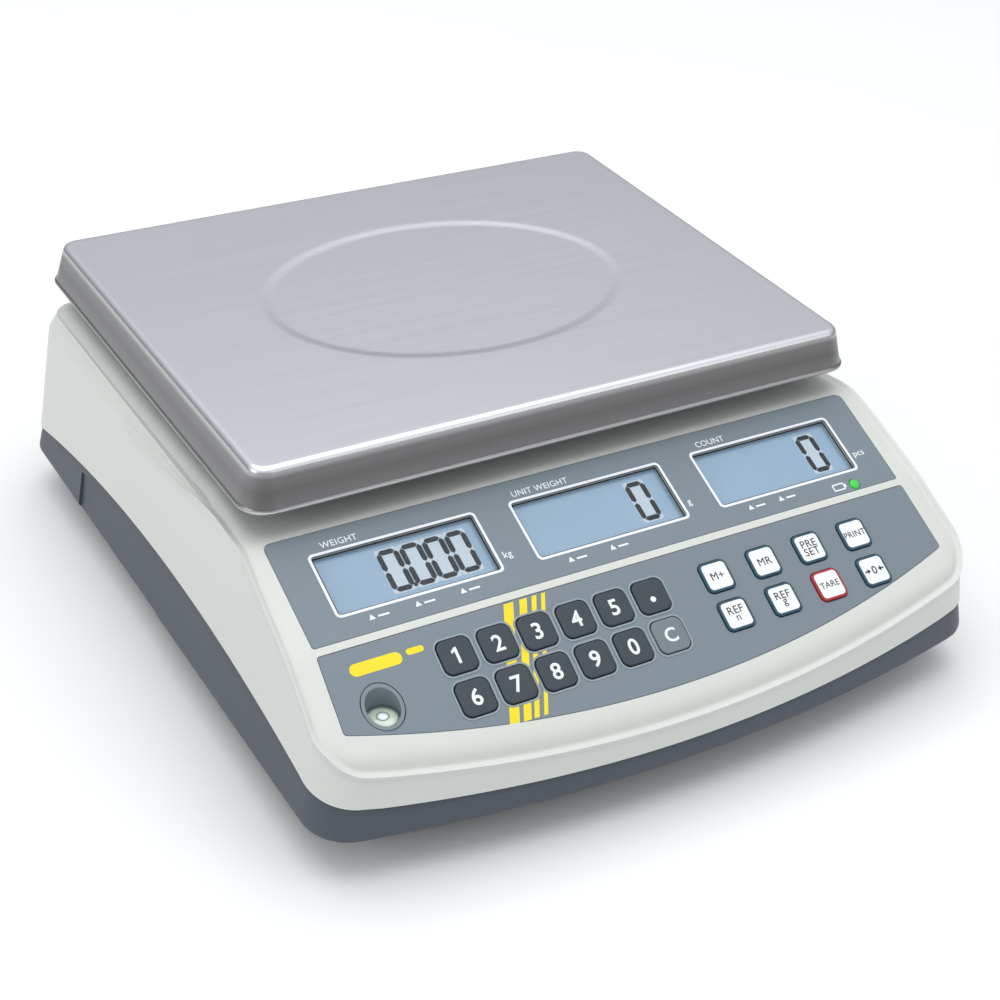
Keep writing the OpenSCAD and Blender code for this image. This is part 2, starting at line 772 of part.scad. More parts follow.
module key_cap(names, i, side) {
    on_keypad() translate(key_place(names, i)) {
        translate([0, 0, -key_bottom]) linear_extrude(key_bottom + key_proud) rounded([side, side], key_r);
        translate([0, 0, -key_bottom]) linear_extrude(flange_t)
            rounded([side + 2 * flange_w, side + 2 * flange_w], key_r);
    }
}

module spirit_level_cup() {
    color([0.75, 0.77, 0.77]) intersection() {
        difference() {
            level_bore(level_d + 2 * cup_wall);
            translate([0, 0, cup_floor_z]) level_bore(level_d);
            translate([-far / 2, -far / 2, 0]) cube([far, far, cup_floor_z - cup_wall]);
        }
        on_keypad() translate([-far / 2, -far / 2, -far]) cube([far, far, far - overlay_sink]);
    }
}

module spirit_level_vial() {
    color([0.7, 0.85, 0.5]) translate([-level_left, level_y, cup_floor_z])
        cylinder(d = level_d - 2 * fit_gap, h = vial_h);
}

module main_board() {
    color([0.1, 0.4, 0.2]) {
        difference() {
            translate([-main_board_size[0] / 2, main_board_y - main_board_size[1] / 2, main_board_z])
                cube([main_board_size[0], main_board_size[1], board_t]);
            at_standoffs() cylinder(d = stake_d + 2 * bolt_gap, h = far);
        }
        for (part = board_parts)
            translate([part[0], main_board_y + part[1], main_board_z + board_t])
                cube([part[2], part[3], part[4]]);
    }
}

// Round cable from the load cell's clamped end, forward and down to the main board.
module load_cell_cable() {
    start = [plate_y - cell_w / 2, cell_bottom + cell_h / 2];
    plug = [main_board_y + 15, main_board_z + board_t + cable_plug_h];
    over = main_board_z + 12;
    route = [start, start - [8, 0], [plug[0] + 11, over], [plug[0], over], plug];
    color([0.2, 0.2, 0.2]) for (i = [0 : len(route) - 2]) {
        v = route[i + 1] - route[i];
        translate([-main_board_size[0] / 2 + 14, route[i][0], route[i][1]]) {
            rotate([atan2(v[1], v[0]) - 90, 0, 0]) cylinder(d = cable_d, h = norm(v));
            if (i > 0) sphere(d = cable_d);
        }
    }
}

module display_ribbon() {
    lift = main_board_z + board_t;
    back = display_board_n + board_t;
    y = panel_y - ribbon_drop * cos(display_tilt) + back * sin(display_tilt);
    z = casing_z - ribbon_drop * sin(display_tilt) - back * cos(display_tilt);
    color([0.8, 0.8, 0.78]) rotate([90, 0, 90]) linear_extrude(ribbon_w, center = true)
        polygon([[y - 0.5, lift], [y + 0.5, lift], [y + 0.5, z - 0.1], [y - 0.5, z - 0.6]]);
}

module weighing_plate() {
    top = [plate_w - 2 * skirt_flare, plate_d - 2 * skirt_flare];
    color([0.76, 0.77, 0.8]) translate([0, plate_y, 0]) difference() {
        plate_form(top, 0);
        translate([0, 0, -sheet_t]) plate_form(top, sheet_t);
        translate([0, 0, total_h - skirt_h - 10]) cube([far, far, 20], center = true);
    }
}

// Flared pan form: its top edge is rounded over, and its skirt leans outwards.
module plate_form(top, inset) {
    bend = 2.5;
    drop = skirt_h + 1;
    grow = skirt_flare * drop / skirt_h;
    $fn = 32;
    hull() {
        translate([0, 0, total_h - bend]) linear_extrude(bend)
            rounded(top - 2 * (inset + bend) * [1, 1], plate_corner_r - inset - bend);
        translate([0, 0, total_h - bend]) linear_extrude(bend * 0.7)
            rounded(top - (2 * inset + bend * 0.6) * [1, 1], plate_corner_r - inset);
        translate([0, 0, total_h - drop]) linear_extrude(0.01)
            rounded(top + 2 * (grow - inset) * [1, 1], plate_corner_r + grow - inset);
    }
}

module at_pads() {
    for (sx = [-1, 1], sy = [-1, 1]) translate([sx * pad_x, plate_y + sy * pad_y, 0]) children();
}

module at_cell_bolts(x) {
    for (s = [-1, 1]) translate([x + s * bolt_pitch / 2, plate_y, 0]) children();
}

// Cross-shaped casting: a middle bar over the load cell, and an arm out to each pad.
module plate_carrier() {
    color([0.7, 0.71, 0.73]) difference() {
        translate([0, plate_y, carrier_z]) {
            translate([-hub_w / 2, -hub_d / 2, 0]) cube([hub_w, hub_d, carrier_t]);
            for (sx = [-1, 1]) {
                translate([sx * pad_x - arm_w / 2, -pad_y, 0]) cube([arm_w, 2 * pad_y, carrier_t]);
                translate([sx * pad_x / 2 - pad_x / 2, -arm_w / 2, 0]) cube([pad_x, arm_w, carrier_t]);
                for (sy = [-1, 1]) translate([sx * pad_x, sy * pad_y, 0]) cylinder(d = pad_d + 8, h = carrier_t);
            }
        }
        at_cell_bolts(clamp_x) cylinder(d = bolt_d + 2 * bolt_gap, h = far);
        at_cell_bolts(clamp_x) translate([0, 0, carrier_z + carrier_t - 2]) cylinder(d = bolt_head_d + 1, h = far);
        for (sx = [-1, 1]) translate([sx * pad_x, plate_y, carrier_z - 1]) cylinder(d = 8, h = 2 * carrier_t);
    }
}

module carrier_pads() {
    color([0.2, 0.2, 0.2]) at_pads() translate([0, 0, carrier_z + carrier_t]) rotate_extrude()
        polygon([[0, 0], [pad_d / 2, 0], [pad_d / 2 - 2, pad_h], [0, pad_h]]);
}

module carrier_bolts() {
    color([0.5, 0.5, 0.5]) at_cell_bolts(clamp_x) {
        translate([0, 0, cell_top - bolt_depth]) cylinder(d = bolt_d, h = bolt_depth + pillar_h + carrier_t - 2);
        translate([0, 0, carrier_z + carrier_t - 2]) cylinder(d = bolt_head_d, h = bolt_head_h);
    }
}

module load_cell_upper_spacer() {
    color([0.72, 0.73, 0.75]) difference() {
        translate([clamp_x - clamp_l / 2, plate_y - cell_w / 2, cell_top]) cube([clamp_l, cell_w, pillar_h]);
        at_cell_bolts(clamp_x) cylinder(d = bolt_d + 2 * bolt_gap, h = far);
    }
}

module load_cell() {
    middle_z = cell_bottom + cell_h / 2;
    color([0.78, 0.79, 0.8]) difference() {
        translate([-cell_l / 2, plate_y - cell_w / 2, cell_bottom]) cube([cell_l, cell_w, cell_h]);
        for (s = [-1, 1]) translate([s * strain_pitch / 2, plate_y, middle_z]) rotate([90, 0, 0])
            cylinder(d = strain_d, h = 2 * cell_w, center = true);
        translate([0, plate_y, middle_z]) cube([strain_pitch, 2 * cell_w, strain_d / 2], center = true);
        at_cell_bolts(clamp_x) translate([0, 0, cell_top - bolt_depth - 1])
            cylinder(d = bolt_d + 2 * bolt_gap, h = far);
        at_cell_bolts(-clamp_x) cylinder(d = bolt_d + 2 * bolt_gap, h = cell_bottom + bolt_depth + 1);
    }
}

module load_cell_lower_spacer() {
    color([0.72, 0.73, 0.75]) difference() {
        translate([-clamp_x - clamp_l / 2, plate_y - cell_w / 2, chassis_top])
            cube([clamp_l, cell_w, cell_bottom - chassis_top]);
        at_cell_bolts(-clamp_x) cylinder(d = bolt_d + 2 * bolt_gap, h = far);
    }
}

module load_cell_bolts() {
    color([0.5, 0.5, 0.5]) at_cell_bolts(-clamp_x) {
        translate([0, 0, chassis_z - bolt_head_h]) cylinder(d = bolt_head_d, h = bolt_head_h);
        translate([0, 0, chassis_z]) cylinder(d = bolt_d, h = cell_bottom + bolt_depth - chassis_z);
    }
}

module overload_stop() {
    color([0.5, 0.5, 0.5]) translate([clamp_x, plate_y, 0]) {
        translate([0, 0, chassis_z - 2]) cylinder(d = stop_d, h = cell_bottom - stop_gap - chassis_z + 2);
        translate([0, 0, chassis_top]) cylinder(d = stop_d * 1.8, h = stop_d / 2, $fn = 6);
    }
}

module chassis_plate() {
    color([0.65, 0.66, 0.68]) difference() {
        translate([-chassis_w / 2, plate_y - chassis_d / 2, chassis_z]) cube([chassis_w, chassis_d, chassis_t]);
        at_cell_bolts(-clamp_x) cylinder(d = bolt_d + 2 * bolt_gap, h = far);
        translate([clamp_x, plate_y, 0]) cylinder(d = stop_d + 2 * bolt_gap, h = far);
        at_chassis_screws() cylinder(d = chassis_screw_d, h = far);
    }
}

module battery() {
    color([0.15, 0.15, 0.16]) translate([0, 0, battery_z]) {
        battery_opening(0, battery_h - 4);
        translate([-battery_l / 2 + 12, battery_y - 3, battery_h - 4]) cube([1, 6, 4]);
        translate([battery_l / 2 - 13, battery_y - 3, battery_h - 4]) cube([1, 6, 4]);
    }
}

module battery_cover() {
    color([0.42, 0.46, 0.5]) difference() {
        translate([0, 0, base_z]) battery_opening(cover_margin, cover_t);
        for (side = [-1, 1])
            translate([side * cover_screw_x, battery_y, 0]) cylinder(d = screw_d + 2 * bolt_gap, h = far);
    }
}

module power_switch_housing() {
    mouth = [switch_l - 2 * switch_wall, switch_w - 2 * switch_wall];
    color([0.08, 0.08, 0.08]) translate([switch_x, switch_y, base_z]) difference() {
        union() {
            translate([0, 0, switch_h / 2]) cube([switch_l, switch_w, switch_h], center = true);
            translate([0, 0, -switch_flange / 2]) cube([switch_l + 4, switch_w + 4, switch_flange], center = true);
        }
        translate([0, 0, switch_h / 2 - switch_wall - switch_flange])
            cube([mouth[0], mouth[1], switch_h + 2 * switch_flange - 0.01], center = true);
    }
}

// Rocker on its pivot, at rest with its rear end pressed in.
module power_switch_rocker() {
    mouth = [switch_l - 2 * switch_wall, switch_w - 2 * switch_wall];
    half = mouth[0] / 2 - rocker_gap - 0.6;
    thick = 4;
    dip = half * tan(switch_throw / 2);
    color([0.1, 0.1, 0.1]) translate([switch_x, switch_y, base_z + 2]) rotate([0, -switch_throw / 2, 0])
        rotate([90, 0, 0]) linear_extrude(mouth[1] - 2 * rocker_gap, center = true)
            polygon([[-half, -thick], [0, dip - thick], [half, -thick], [half - 1.2, 1], [1.2 - half, 1]]);
}

module power_jack() {
    color([0.1, 0.1, 0.1]) translate([jack_x, pocket_y, socket_z]) rotate([90, 0, 0]) {
        difference() {
            translate([-jack_body[0] / 2, -jack_body[1] / 2, -0.5]) cube([jack_body[0], jack_body[1], 13]);
            translate([0, 0, -1]) cylinder(d = jack_d, h = 11);
        }
        cylinder(d = jack_pin_d, h = 12);
    }
}

// Nine-way socket: a flange, a raised shell and two rows of pin holes.
module serial_port() {
    color([0.55, 0.56, 0.58]) translate([serial_x, pocket_y, socket_z]) rotate([90, 0, 0]) difference() {
        union() {
            linear_extrude(11) square(serial_shell, center = true);
            translate([0, 0, -1]) linear_extrude(1) square(serial_flange, center = true);
            translate([0, 0, -4]) linear_extrude(4) rounded(serial_shell - [2.4, 2.4], 2);
        }
        for (row = [0, 1], i = [0 : 4 - row])
            translate([(i - 2 + row / 2) * 2.74, 1.42 - row * 2.84, -5]) cylinder(d = 1, h = 8);
        for (side = [-1, 1]) translate([side * 12.5, 0, -2]) cylinder(d = 3, h = 4);
    }
}

module foot_pad(x, y) {
    color([0.12, 0.12, 0.12]) translate([x, y, 0]) rotate_extrude()
        polygon([[0, 0], [foot_pad_d / 2, 0], [foot_pad_d / 2 - 2.5, foot_pad_h], [0, foot_pad_h]]);
}

module foot_screw(x, y) {
    color([0.5, 0.5, 0.52]) translate([x, y, foot_pad_h]) {
        cylinder(d = foot_wheel_d, h = foot_wheel_h);
        cylinder(d = stud_d, h = foot_wheel_h + stud_h);
    }
}

weighing_plate();
plate_carrier();
carrier_pads();
carrier_bolts();
load_cell_upper_spacer();
load_cell();
load_cell_lower_spacer();
load_cell_bolts();
overload_stop();
chassis_plate();
upper_casing();
lower_casing();
case_screws();
display_overlay();
keypad_overlay();
display_lenses();
lcd_modules();
display_board();
charge_led();
keypad_board();
key_domes();
for (i = [0 : len(digit_keys) - 1])
    color([0.23, 0.27, 0.31]) key_cap(digit_keys, i, digit_key);
for (i = [0 : len(function_keys) - 1])
    color([0.95, 0.95, 0.95]) key_cap(function_keys, i, function_key);
spirit_level_cup();
spirit_level_vial();
main_board();
load_cell_cable();
display_ribbon();
battery();
battery_cover();
power_switch_housing();
power_switch_rocker();
power_jack();
serial_port();
for (i = [0 : len(corners) - 1])
    foot_pad((i % 2 * 2 - 1) * (body_w / 2 - foot_inset_x), foot_y[floor(i / 2)]);
for (i = [0 : len(corners) - 1])
    foot_screw((i % 2 * 2 - 1) * (body_w / 2 - foot_inset_x), foot_y[floor(i / 2)]);
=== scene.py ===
import json
import math
import bmesh
import bpy
from mathutils import Matrix, Vector

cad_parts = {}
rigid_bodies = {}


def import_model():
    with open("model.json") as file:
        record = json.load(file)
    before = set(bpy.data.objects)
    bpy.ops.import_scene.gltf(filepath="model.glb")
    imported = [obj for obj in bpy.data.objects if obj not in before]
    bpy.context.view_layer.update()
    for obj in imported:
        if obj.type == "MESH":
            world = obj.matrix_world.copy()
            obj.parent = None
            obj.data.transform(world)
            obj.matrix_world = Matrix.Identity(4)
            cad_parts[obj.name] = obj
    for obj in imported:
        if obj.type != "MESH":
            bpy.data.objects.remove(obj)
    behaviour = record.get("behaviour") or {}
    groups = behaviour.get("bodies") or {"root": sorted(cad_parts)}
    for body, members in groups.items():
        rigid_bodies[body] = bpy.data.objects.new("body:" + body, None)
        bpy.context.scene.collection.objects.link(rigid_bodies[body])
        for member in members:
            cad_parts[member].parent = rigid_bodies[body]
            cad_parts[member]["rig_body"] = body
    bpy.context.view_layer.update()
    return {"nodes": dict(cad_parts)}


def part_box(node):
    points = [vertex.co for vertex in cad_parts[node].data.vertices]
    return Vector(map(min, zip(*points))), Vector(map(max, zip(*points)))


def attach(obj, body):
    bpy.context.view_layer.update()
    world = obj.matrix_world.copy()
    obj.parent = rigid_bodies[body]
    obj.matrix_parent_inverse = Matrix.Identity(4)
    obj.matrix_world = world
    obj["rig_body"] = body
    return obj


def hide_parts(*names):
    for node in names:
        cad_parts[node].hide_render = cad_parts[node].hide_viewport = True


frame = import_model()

mm = 0.001
scene = bpy.context.scene


def corners(node):
    low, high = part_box(node)
    return low / mm, high / mm


# the camera stands in front of the left corner and looks down on the panel
camera = {
    "place": (-394.292, -633.629, 523.785),
    "right": (0.863167, -0.501373, 0.059725),
    "up": (0.231496, 0.498089, 0.835654),
    "back": (-0.448723, -0.707483, 0.546000),
    "lens": 70.03,
}

# sizes the casings share, all in millimetres
lowCorner, highCorner = corners("lower_casing")
topCorner = corners("upper_casing")[1]
casing = {
    "width": highCorner.x - lowCorner.x,
    "front": lowCorner.y,
    "rear": highCorner.y,
    "bottom": lowCorner.z,
    "top": topCorner.z - 4,
    "sideLean": 7,
    "frontLean": 8,
    "rearLean": 4,
    "frontBow": 703,
    "rearBow": 1100,
    "frontCorner": 20,
    "rearCorner": 16,
    "wall": 3,
    "panelSetback": 108.7,
    "displayTilt": 22.5,
    "displayLength": 51.4,
    "keypadTilt": 29.7,
    "foldRound": 1.6,
}
panelY = casing["front"] + casing["panelSetback"]
displaySlope = math.tan(math.radians(casing["displayTilt"]))
keypadSlope = math.tan(math.radians(casing["keypadTilt"]))
ridgeY = panelY - casing["displayLength"] * math.cos(math.radians(casing["displayTilt"]))
ridgeZ = casing["top"] - casing["displayLength"] * math.sin(math.radians(casing["displayTilt"]))
flat = Matrix.Identity(4)


def slopePlace(y, z, tilt):
    return Matrix.Translation((0, y, z)) @ Matrix.Rotation(math.radians(tilt), 4, "X")


onDisplay = slopePlace(panelY, casing["top"], casing["displayTilt"])
onKeypad = slopePlace(ridgeY, ridgeZ, casing["keypadTilt"])


def addObject(name, data):
    obj = bpy.data.objects.new(name, data)
    scene.collection.objects.link(obj)
    return obj


def makeCamera():
    data = bpy.data.cameras.new("camera")
    data.lens = camera["lens"]
    data.sensor_width = 36
    data.clip_end = 20
    obj = addObject("camera", data)
    axes = Matrix((camera["right"], camera["up"], camera["back"])).transposed().to_4x4()
    obj.matrix_world = Matrix.Translation(Vector(camera["place"]) * mm) @ axes
    scene.camera = obj


makeCamera()
print("camera placed")


# small helpers for meshes; every point is given in millimetres
def meshFrom(name, points, faces, place=flat, outward=True):
    data = bpy.data.meshes.new(name)
    data.from_pydata([(place @ Vector(p)) * mm for p in points], [], faces)
    if outward:
        shape = bmesh.new()
        shape.from_mesh(data)
        bmesh.ops.recalc_face_normals(shape, faces=shape.faces)
        shape.to_mesh(data)
        shape.free()
    return addObject(name, data)


def loftFrom(rows, capStart=True, capEnd=True):
    count = len(rows[0])
    points = [p for row in rows for p in row]
    faces = []
    for r in range(len(rows) - 1):
        for i in range(count):
            j = (i + 1) % count
            faces.append((r * count + i, r * count + j, (r + 1) * count + j, (r + 1) * count + i))
    if capStart:
        faces.append(tuple(reversed(range(count))))
    if capEnd:
        faces.append(tuple((len(rows) - 1) * count + i for i in range(count)))
    return points, faces


def roundedRect(width, height, radius, x=0, y=0, steps=6):
    outline = []
    for quarter in range(4):
        cx = (width / 2 - radius) * (1 if quarter in (0, 3) else -1)
        cy = (height / 2 - radius) * (1 if quarter < 2 else -1)
        for s in range(steps + 1):
            angle = math.pi / 2 * (quarter + s / steps)
            outline.append((x + cx + radius * math.cos(angle), y + cy + radius * math.sin(angle)))
    return outline


# the same outline with points spread along its straight sides too
def evenRect(width, height, radius, x=0, y=0, steps=8, between=14):
    outline = roundedRect(width, height, radius, x, y, steps)
    result = []
    for i, p in enumerate(outline):
        result.append(p)
        if i % (steps + 1) == steps:
            q = outline[(i + 1) % len(outline)]
            for k in range(1, between):
                result.append(tuple(a + (b - a) * k / between for a, b in zip(p, q)))
    return result


def disc(radius, x=0, y=0, count=48):
    angles = [2 * math.pi * i / count for i in range(count)]
    return [(x + radius * math.cos(a), y + radius * math.sin(a)) for a in angles]


def prism(name, outline, low, high, place=flat):
    rows = [[(x, y, z) for x, y in outline] for z in (low, high)]
    return meshFrom(name, *loftFrom(rows), place)


def block(width, height, radius, x, y, low, high, place=flat):
    return prism("block", roundedRect(width, height, radius, x, y), low, high, place)


def rod(radius, x, y, low, high, place=flat):
    return prism("rod", disc(radius, x, y), low, high, place)


def turned(name, profile, place=flat, count=64):
    rows = [[(x, y, z) for x, y in disc(r, 0, 0, count)] for r, z in profile]
    return meshFrom(name, *loftFrom(rows), place)


def join(name, objs):
    shape = bmesh.new()
    for obj in objs:
        shape.from_mesh(obj.data)
        bpy.data.objects.remove(obj)
    data = bpy.data.meshes.new(name)
    shape.to_mesh(data)
    shape.free()
    return addObject(name, data)


# the evaluated object becomes a plain mesh and its modifiers go
def settle(obj):
    data = bpy.data.meshes.new_from_object(obj.evaluated_get(bpy.context.evaluated_depsgraph_get()))
    obj.modifiers.clear()
    obj.data = data
    return obj


def combine(obj, tool, way):
    change = obj.modifiers.new(way, "BOOLEAN")
    change.operation = way
    change.solver = "EXACT"
    change.object = tool
    settle(obj)
    bpy.data.objects.remove(tool)
    return obj


def cut(obj, tools):
    return combine(obj, join("cutters", tools), "DIFFERENCE")


def soften(obj, width, steps=2, angle=35):
    edge = obj.modifiers.new("softEdges", "BEVEL")
    edge.width = width * mm
    edge.segments = steps
    edge.limit_method = "ANGLE"
    edge.angle_limit = math.radians(angle)
    edge.use_clamp_overlap = True
    return settle(obj)


def finishPiece(obj, finish, body, replaced=(), smooth=38):
    obj.data.materials.clear()
    obj.data.materials.append(finishes[finish])
    for face in obj.data.polygons:
        face.use_smooth = True
        face.material_index = 0
    obj.data.set_sharp_from_angle(angle=math.radians(smooth))
    weighted = obj.modifiers.new("evenShading", "WEIGHTED_NORMAL")
    weighted.keep_sharp = True
    weighted.weight = 80
    if replaced:
        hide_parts(*replaced)
    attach(obj, body)
    return obj


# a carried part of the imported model, with its edges rounded
def rounded(node, finish, width=0.4, steps=2):
    source = frame["nodes"][node]
    data = source.data.copy()
    obj = addObject(node + "_finished", data)
    shape = bmesh.new()
    shape.from_mesh(data)
    bmesh.ops.remove_doubles(shape, verts=shape.verts, dist=1e-6)
    bmesh.ops.dissolve_limit(shape, angle_limit=math.radians(1.5), verts=shape.verts, edges=shape.edges)
    shape.to_mesh(data)
    shape.free()
    soften(obj, width, steps)
    return finishPiece(obj, finish, source["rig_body"], [node])


def addNode(nodes, kind, values=(), **settings):
    node = nodes.new(kind)
    for name, value in settings.items():
        setattr(node, name, value)
    for name, value in dict(values).items():
        node.inputs[name].default_value = value
    return node


def wire(tree, *rows):
    for start, out, end, into in rows:
        tree.links.new(start.outputs[out], end.inputs[into])


def firstNode(material, kind):
    return [n for n in material.node_tree.nodes if n.type == kind][0]


# one procedural finish: clouded colour, uneven roughness and a fine grain
def makeFinish(name, colour, rough, tint=0.05, cloud=14, grain=900, bump=0.03, metal=0, stretch=(1, 1, 1),
               uneven=0.06, coat=0, alpha=1, glow=0):
    material = bpy.data.materials.new(name)
    material.use_nodes = True
    nodes = material.node_tree.nodes
    shader = nodes["Principled BSDF"]
    place = addNode(nodes, "ShaderNodeTexCoord")
    turn = addNode(nodes, "ShaderNodeMapping", {"Scale": stretch})
    clouds = addNode(nodes, "ShaderNodeTexNoise", {"Scale": cloud, "Detail": 3})
    ramp = addNode(nodes, "ShaderNodeValToRGB")
    dark, light = ramp.color_ramp.elements
    dark.position, light.position = 0.3, 0.7
    dark.color = [c * (1 - tint) for c in colour] + [1]
    light.color = [min(1, c * (1 + tint)) for c in colour] + [1]
    fine = addNode(nodes, "ShaderNodeTexNoise", {"Scale": grain, "Detail": 2})
    spread = addNode(nodes, "ShaderNodeMapRange",
                     {"To Min": max(0.02, rough - uneven), "To Max": min(1, rough + uneven)})
    relief = addNode(nodes, "ShaderNodeBump", {"Strength": bump, "Distance": 0.001})
    wire(material.node_tree, (place, "Object", turn, "Vector"), (turn, "Vector", clouds, "Vector"),
         (clouds, "Fac", ramp, "Fac"), (ramp, "Color", shader, "Base Color"),
         (turn, "Vector", fine, "Vector"), (fine, "Fac", spread, "Value"),
         (spread, "Result", shader, "Roughness"),
         (fine, "Fac", relief, "Height"), (relief, "Normal", shader, "Normal"))
    values = {"Metallic": metal, "Coat Weight": coat, "Coat Roughness": 0.15, "Alpha": alpha}
    if glow:
        values.update({"Emission Color": list(colour) + [1], "Emission Strength": glow})
    for socket, value in values.items():
        shader.inputs[socket].default_value = value
    return material


def hexColour(code):
    values = [int(code[i:i + 2], 16) / 255 for i in (0, 2, 4)]
    return [v / 12.92 if v <= 0.04045 else ((v + 0.055) / 1.055) ** 2.4 for v in values]


# a circuit board: solder mask with copper tracks and rows of bright joints
def makeBoardFinish():
    material = makeFinish("solderMask", hexColour("1F5B38"), 0.42, tint=0.08, grain=500, bump=0.02, coat=0.3)
    nodes = material.node_tree.nodes
    place, base = firstNode(material, "TEX_COORD"), firstNode(material, "VALTORGB")
    tracks = addNode(nodes, "ShaderNodeTexBrick", {"Scale": 60, "Mortar Size": 0.012})
    joints = addNode(nodes, "ShaderNodeTexVoronoi", {"Scale": 160})
    near = addNode(nodes, "ShaderNodeMath", {1: 0.16}, operation="LESS_THAN")
    lines = addNode(nodes, "ShaderNodeMix", {"B": hexColour("2F8A55") + [1]}, data_type="RGBA")
    dots = addNode(nodes, "ShaderNodeMix", {"B": hexColour("C9CDD0") + [1]}, data_type="RGBA")
    wire(material.node_tree, (place, "Object", tracks, "Vector"), (place, "Object", joints, "Vector"),
         (joints, "Distance", near, 0), (tracks, "Fac", lines, "Factor"), (base, "Color", lines, "A"),
         (near, "Value", dots, "Factor"), (lines, "Result", dots, "A"),
         (dots, "Result", nodes["Principled BSDF"], "Base Color"))
    return material


# the flat cable's parallel wires
def makeRibbonFinish():
    material = makeFinish("ribbonWires", hexColour("A9ABA7"), 0.5, tint=0.03, grain=400, bump=0.02)
    nodes = material.node_tree.nodes
    wires = addNode(nodes, "ShaderNodeTexWave", {"Scale": 250}, bands_direction="X")
    relief = addNode(nodes, "ShaderNodeBump", {"Strength": 0.5, "Distance": 0.0004})
    wire(material.node_tree, (firstNode(material, "TEX_COORD"), "Object", wires, "Vector"),
         (wires, "Fac", relief, "Height"), (relief, "Normal", nodes["Principled BSDF"], "Normal"))
    return material


# each finish: colour, roughness, tint, cloud scale, grain scale, bump, and what else it needs
finishTable = {
    "whiteShell": ("D2D6D1", 0.42, 0.012, 9, 1400, 0.05),
    "greyShell": ("474F58", 0.5, 0.03, 12, 1100, 0.09),
    "greyFilm": ("76828B", 0.46, 0.015, 16, 1800, 0.05),
    "paleFilm": ("8D99A1", 0.46, 0.02, 16, 1800, 0.04),
    "darkRubber": ("333D47", 0.55, 0.05, 60, 1500, 0.12),
    "midKey": ("717B82", 0.52, 0.04, 60, 1500, 0.1),
    "whiteKey": ("EEF1F1", 0.4, 0.01, 40, 1500, 0.05),
    "whiteInk": ("EDF1F3", 0.5, 0.02, 80, 2500, 0.03),
    "blackInk": ("0B0D10", 0.5, 0.1, 80, 2500, 0.03),
    "tealInk": ("1F4A5C", 0.5, 0.06, 80, 2500, 0.03),
    "redInk": ("A3262F", 0.5, 0.06, 80, 2500, 0.03),
    "yellowInk": ("F2DC12", 0.5, 0.04, 80, 2500, 0.03),
    "steel": ("D9DBDF", 0.34, 0.02, 6, 1, 0.012, {"metal": 1, "stretch": (7, 520, 520), "uneven": 0.05}),
    "castMetal": ("A8ABAF", 0.5, 0.05, 40, 420, 0.35, {"metal": 1}),
    "milledMetal": ("BFC1C4", 0.3, 0.03, 10, 1, 0.05, {"metal": 1, "stretch": (30, 700, 30)}),
    "zincSteel": ("B9B8AE", 0.33, 0.07, 90, 900, 0.06, {"metal": 1}),
    "panelSteel": ("9EA0A1", 0.4, 0.06, 45, 600, 0.06, {"metal": 1}),
    "padRubber": ("1E1F21", 0.72, 0.12, 70, 1000, 0.25),
    "siliconeDome": ("D6D3C8", 0.45, 0.03, 70, 900, 0.05),
    # painted glow: the LCD glass and the pale patches behind its figures emit a little light, though the LCD
    # is no lamp
    "lcdGlassPaintedGlow": ("96B2CA", 0.35, 0.05, 30, 1200, 0.01, {"glow": 0.12}),
    "lcdGlow": ("C2D0DA", 0.35, 0.02, 30, 1200, 0.01, {"glow": 0.14}),
    "clearPane": ("5F7383", 0.05, 0.01, 10, 200, 0.002, {"uneven": 0.01, "alpha": 0.07}),
    "greenLamp": ("3FB34A", 0.25, 0.05, 120, 900, 0.03, {"glow": 0.35}),
    "cupPlastic": ("78848B", 0.35, 0.03, 60, 1200, 0.04),
    "levelLiquid": ("C9D6C6", 0.12, 0.05, 90, 300, 0.01, {"uneven": 0.02, "coat": 0.6}),
    "cableSheath": ("232427", 0.5, 0.1, 50, 800, 0.12),
    "batteryCase": ("2A2D31", 0.5, 0.06, 20, 1000, 0.14),
    "blackPlastic": ("17181A", 0.42, 0.1, 40, 1300, 0.08),
    "socketMetal": ("AEB1B5", 0.3, 0.05, 80, 900, 0.05, {"metal": 1}),
    "floor": ("F1F2F2", 0.85, 0.006, 3, 300, 0.01),
}
finishes = {}
for name, (colour, rough, tint, cloud, grain, bump, *more) in finishTable.items():
    extra = more[0] if more else {}
    finishes[name] = makeFinish(name, hexColour(colour), rough, tint, cloud, grain, bump, **extra)
finishes["board"] = makeBoardFinish()
finishes["ribbon"] = makeRibbonFinish()
print("finishes made")


# plan outline of the casing at a height, from the middle of the front round the right side to the rear
sideStations = [-132, -126, -120]
for fold in (ridgeY, panelY):
    sideStations += [fold + d for d in (-3.4, -2.2, -1.1, 0, 1.1, 2.2, 3.4)]
sideStations += [-105, -97, -89, -81, -74, -58, -50, -40, -30, -20, -8, 3, 15, 27, 38, 47, 53.2, 54.0]
sideStations += [60, 70, 80, 90, 98, 107, 116, 125, 134, 141]
sideStations.sort()


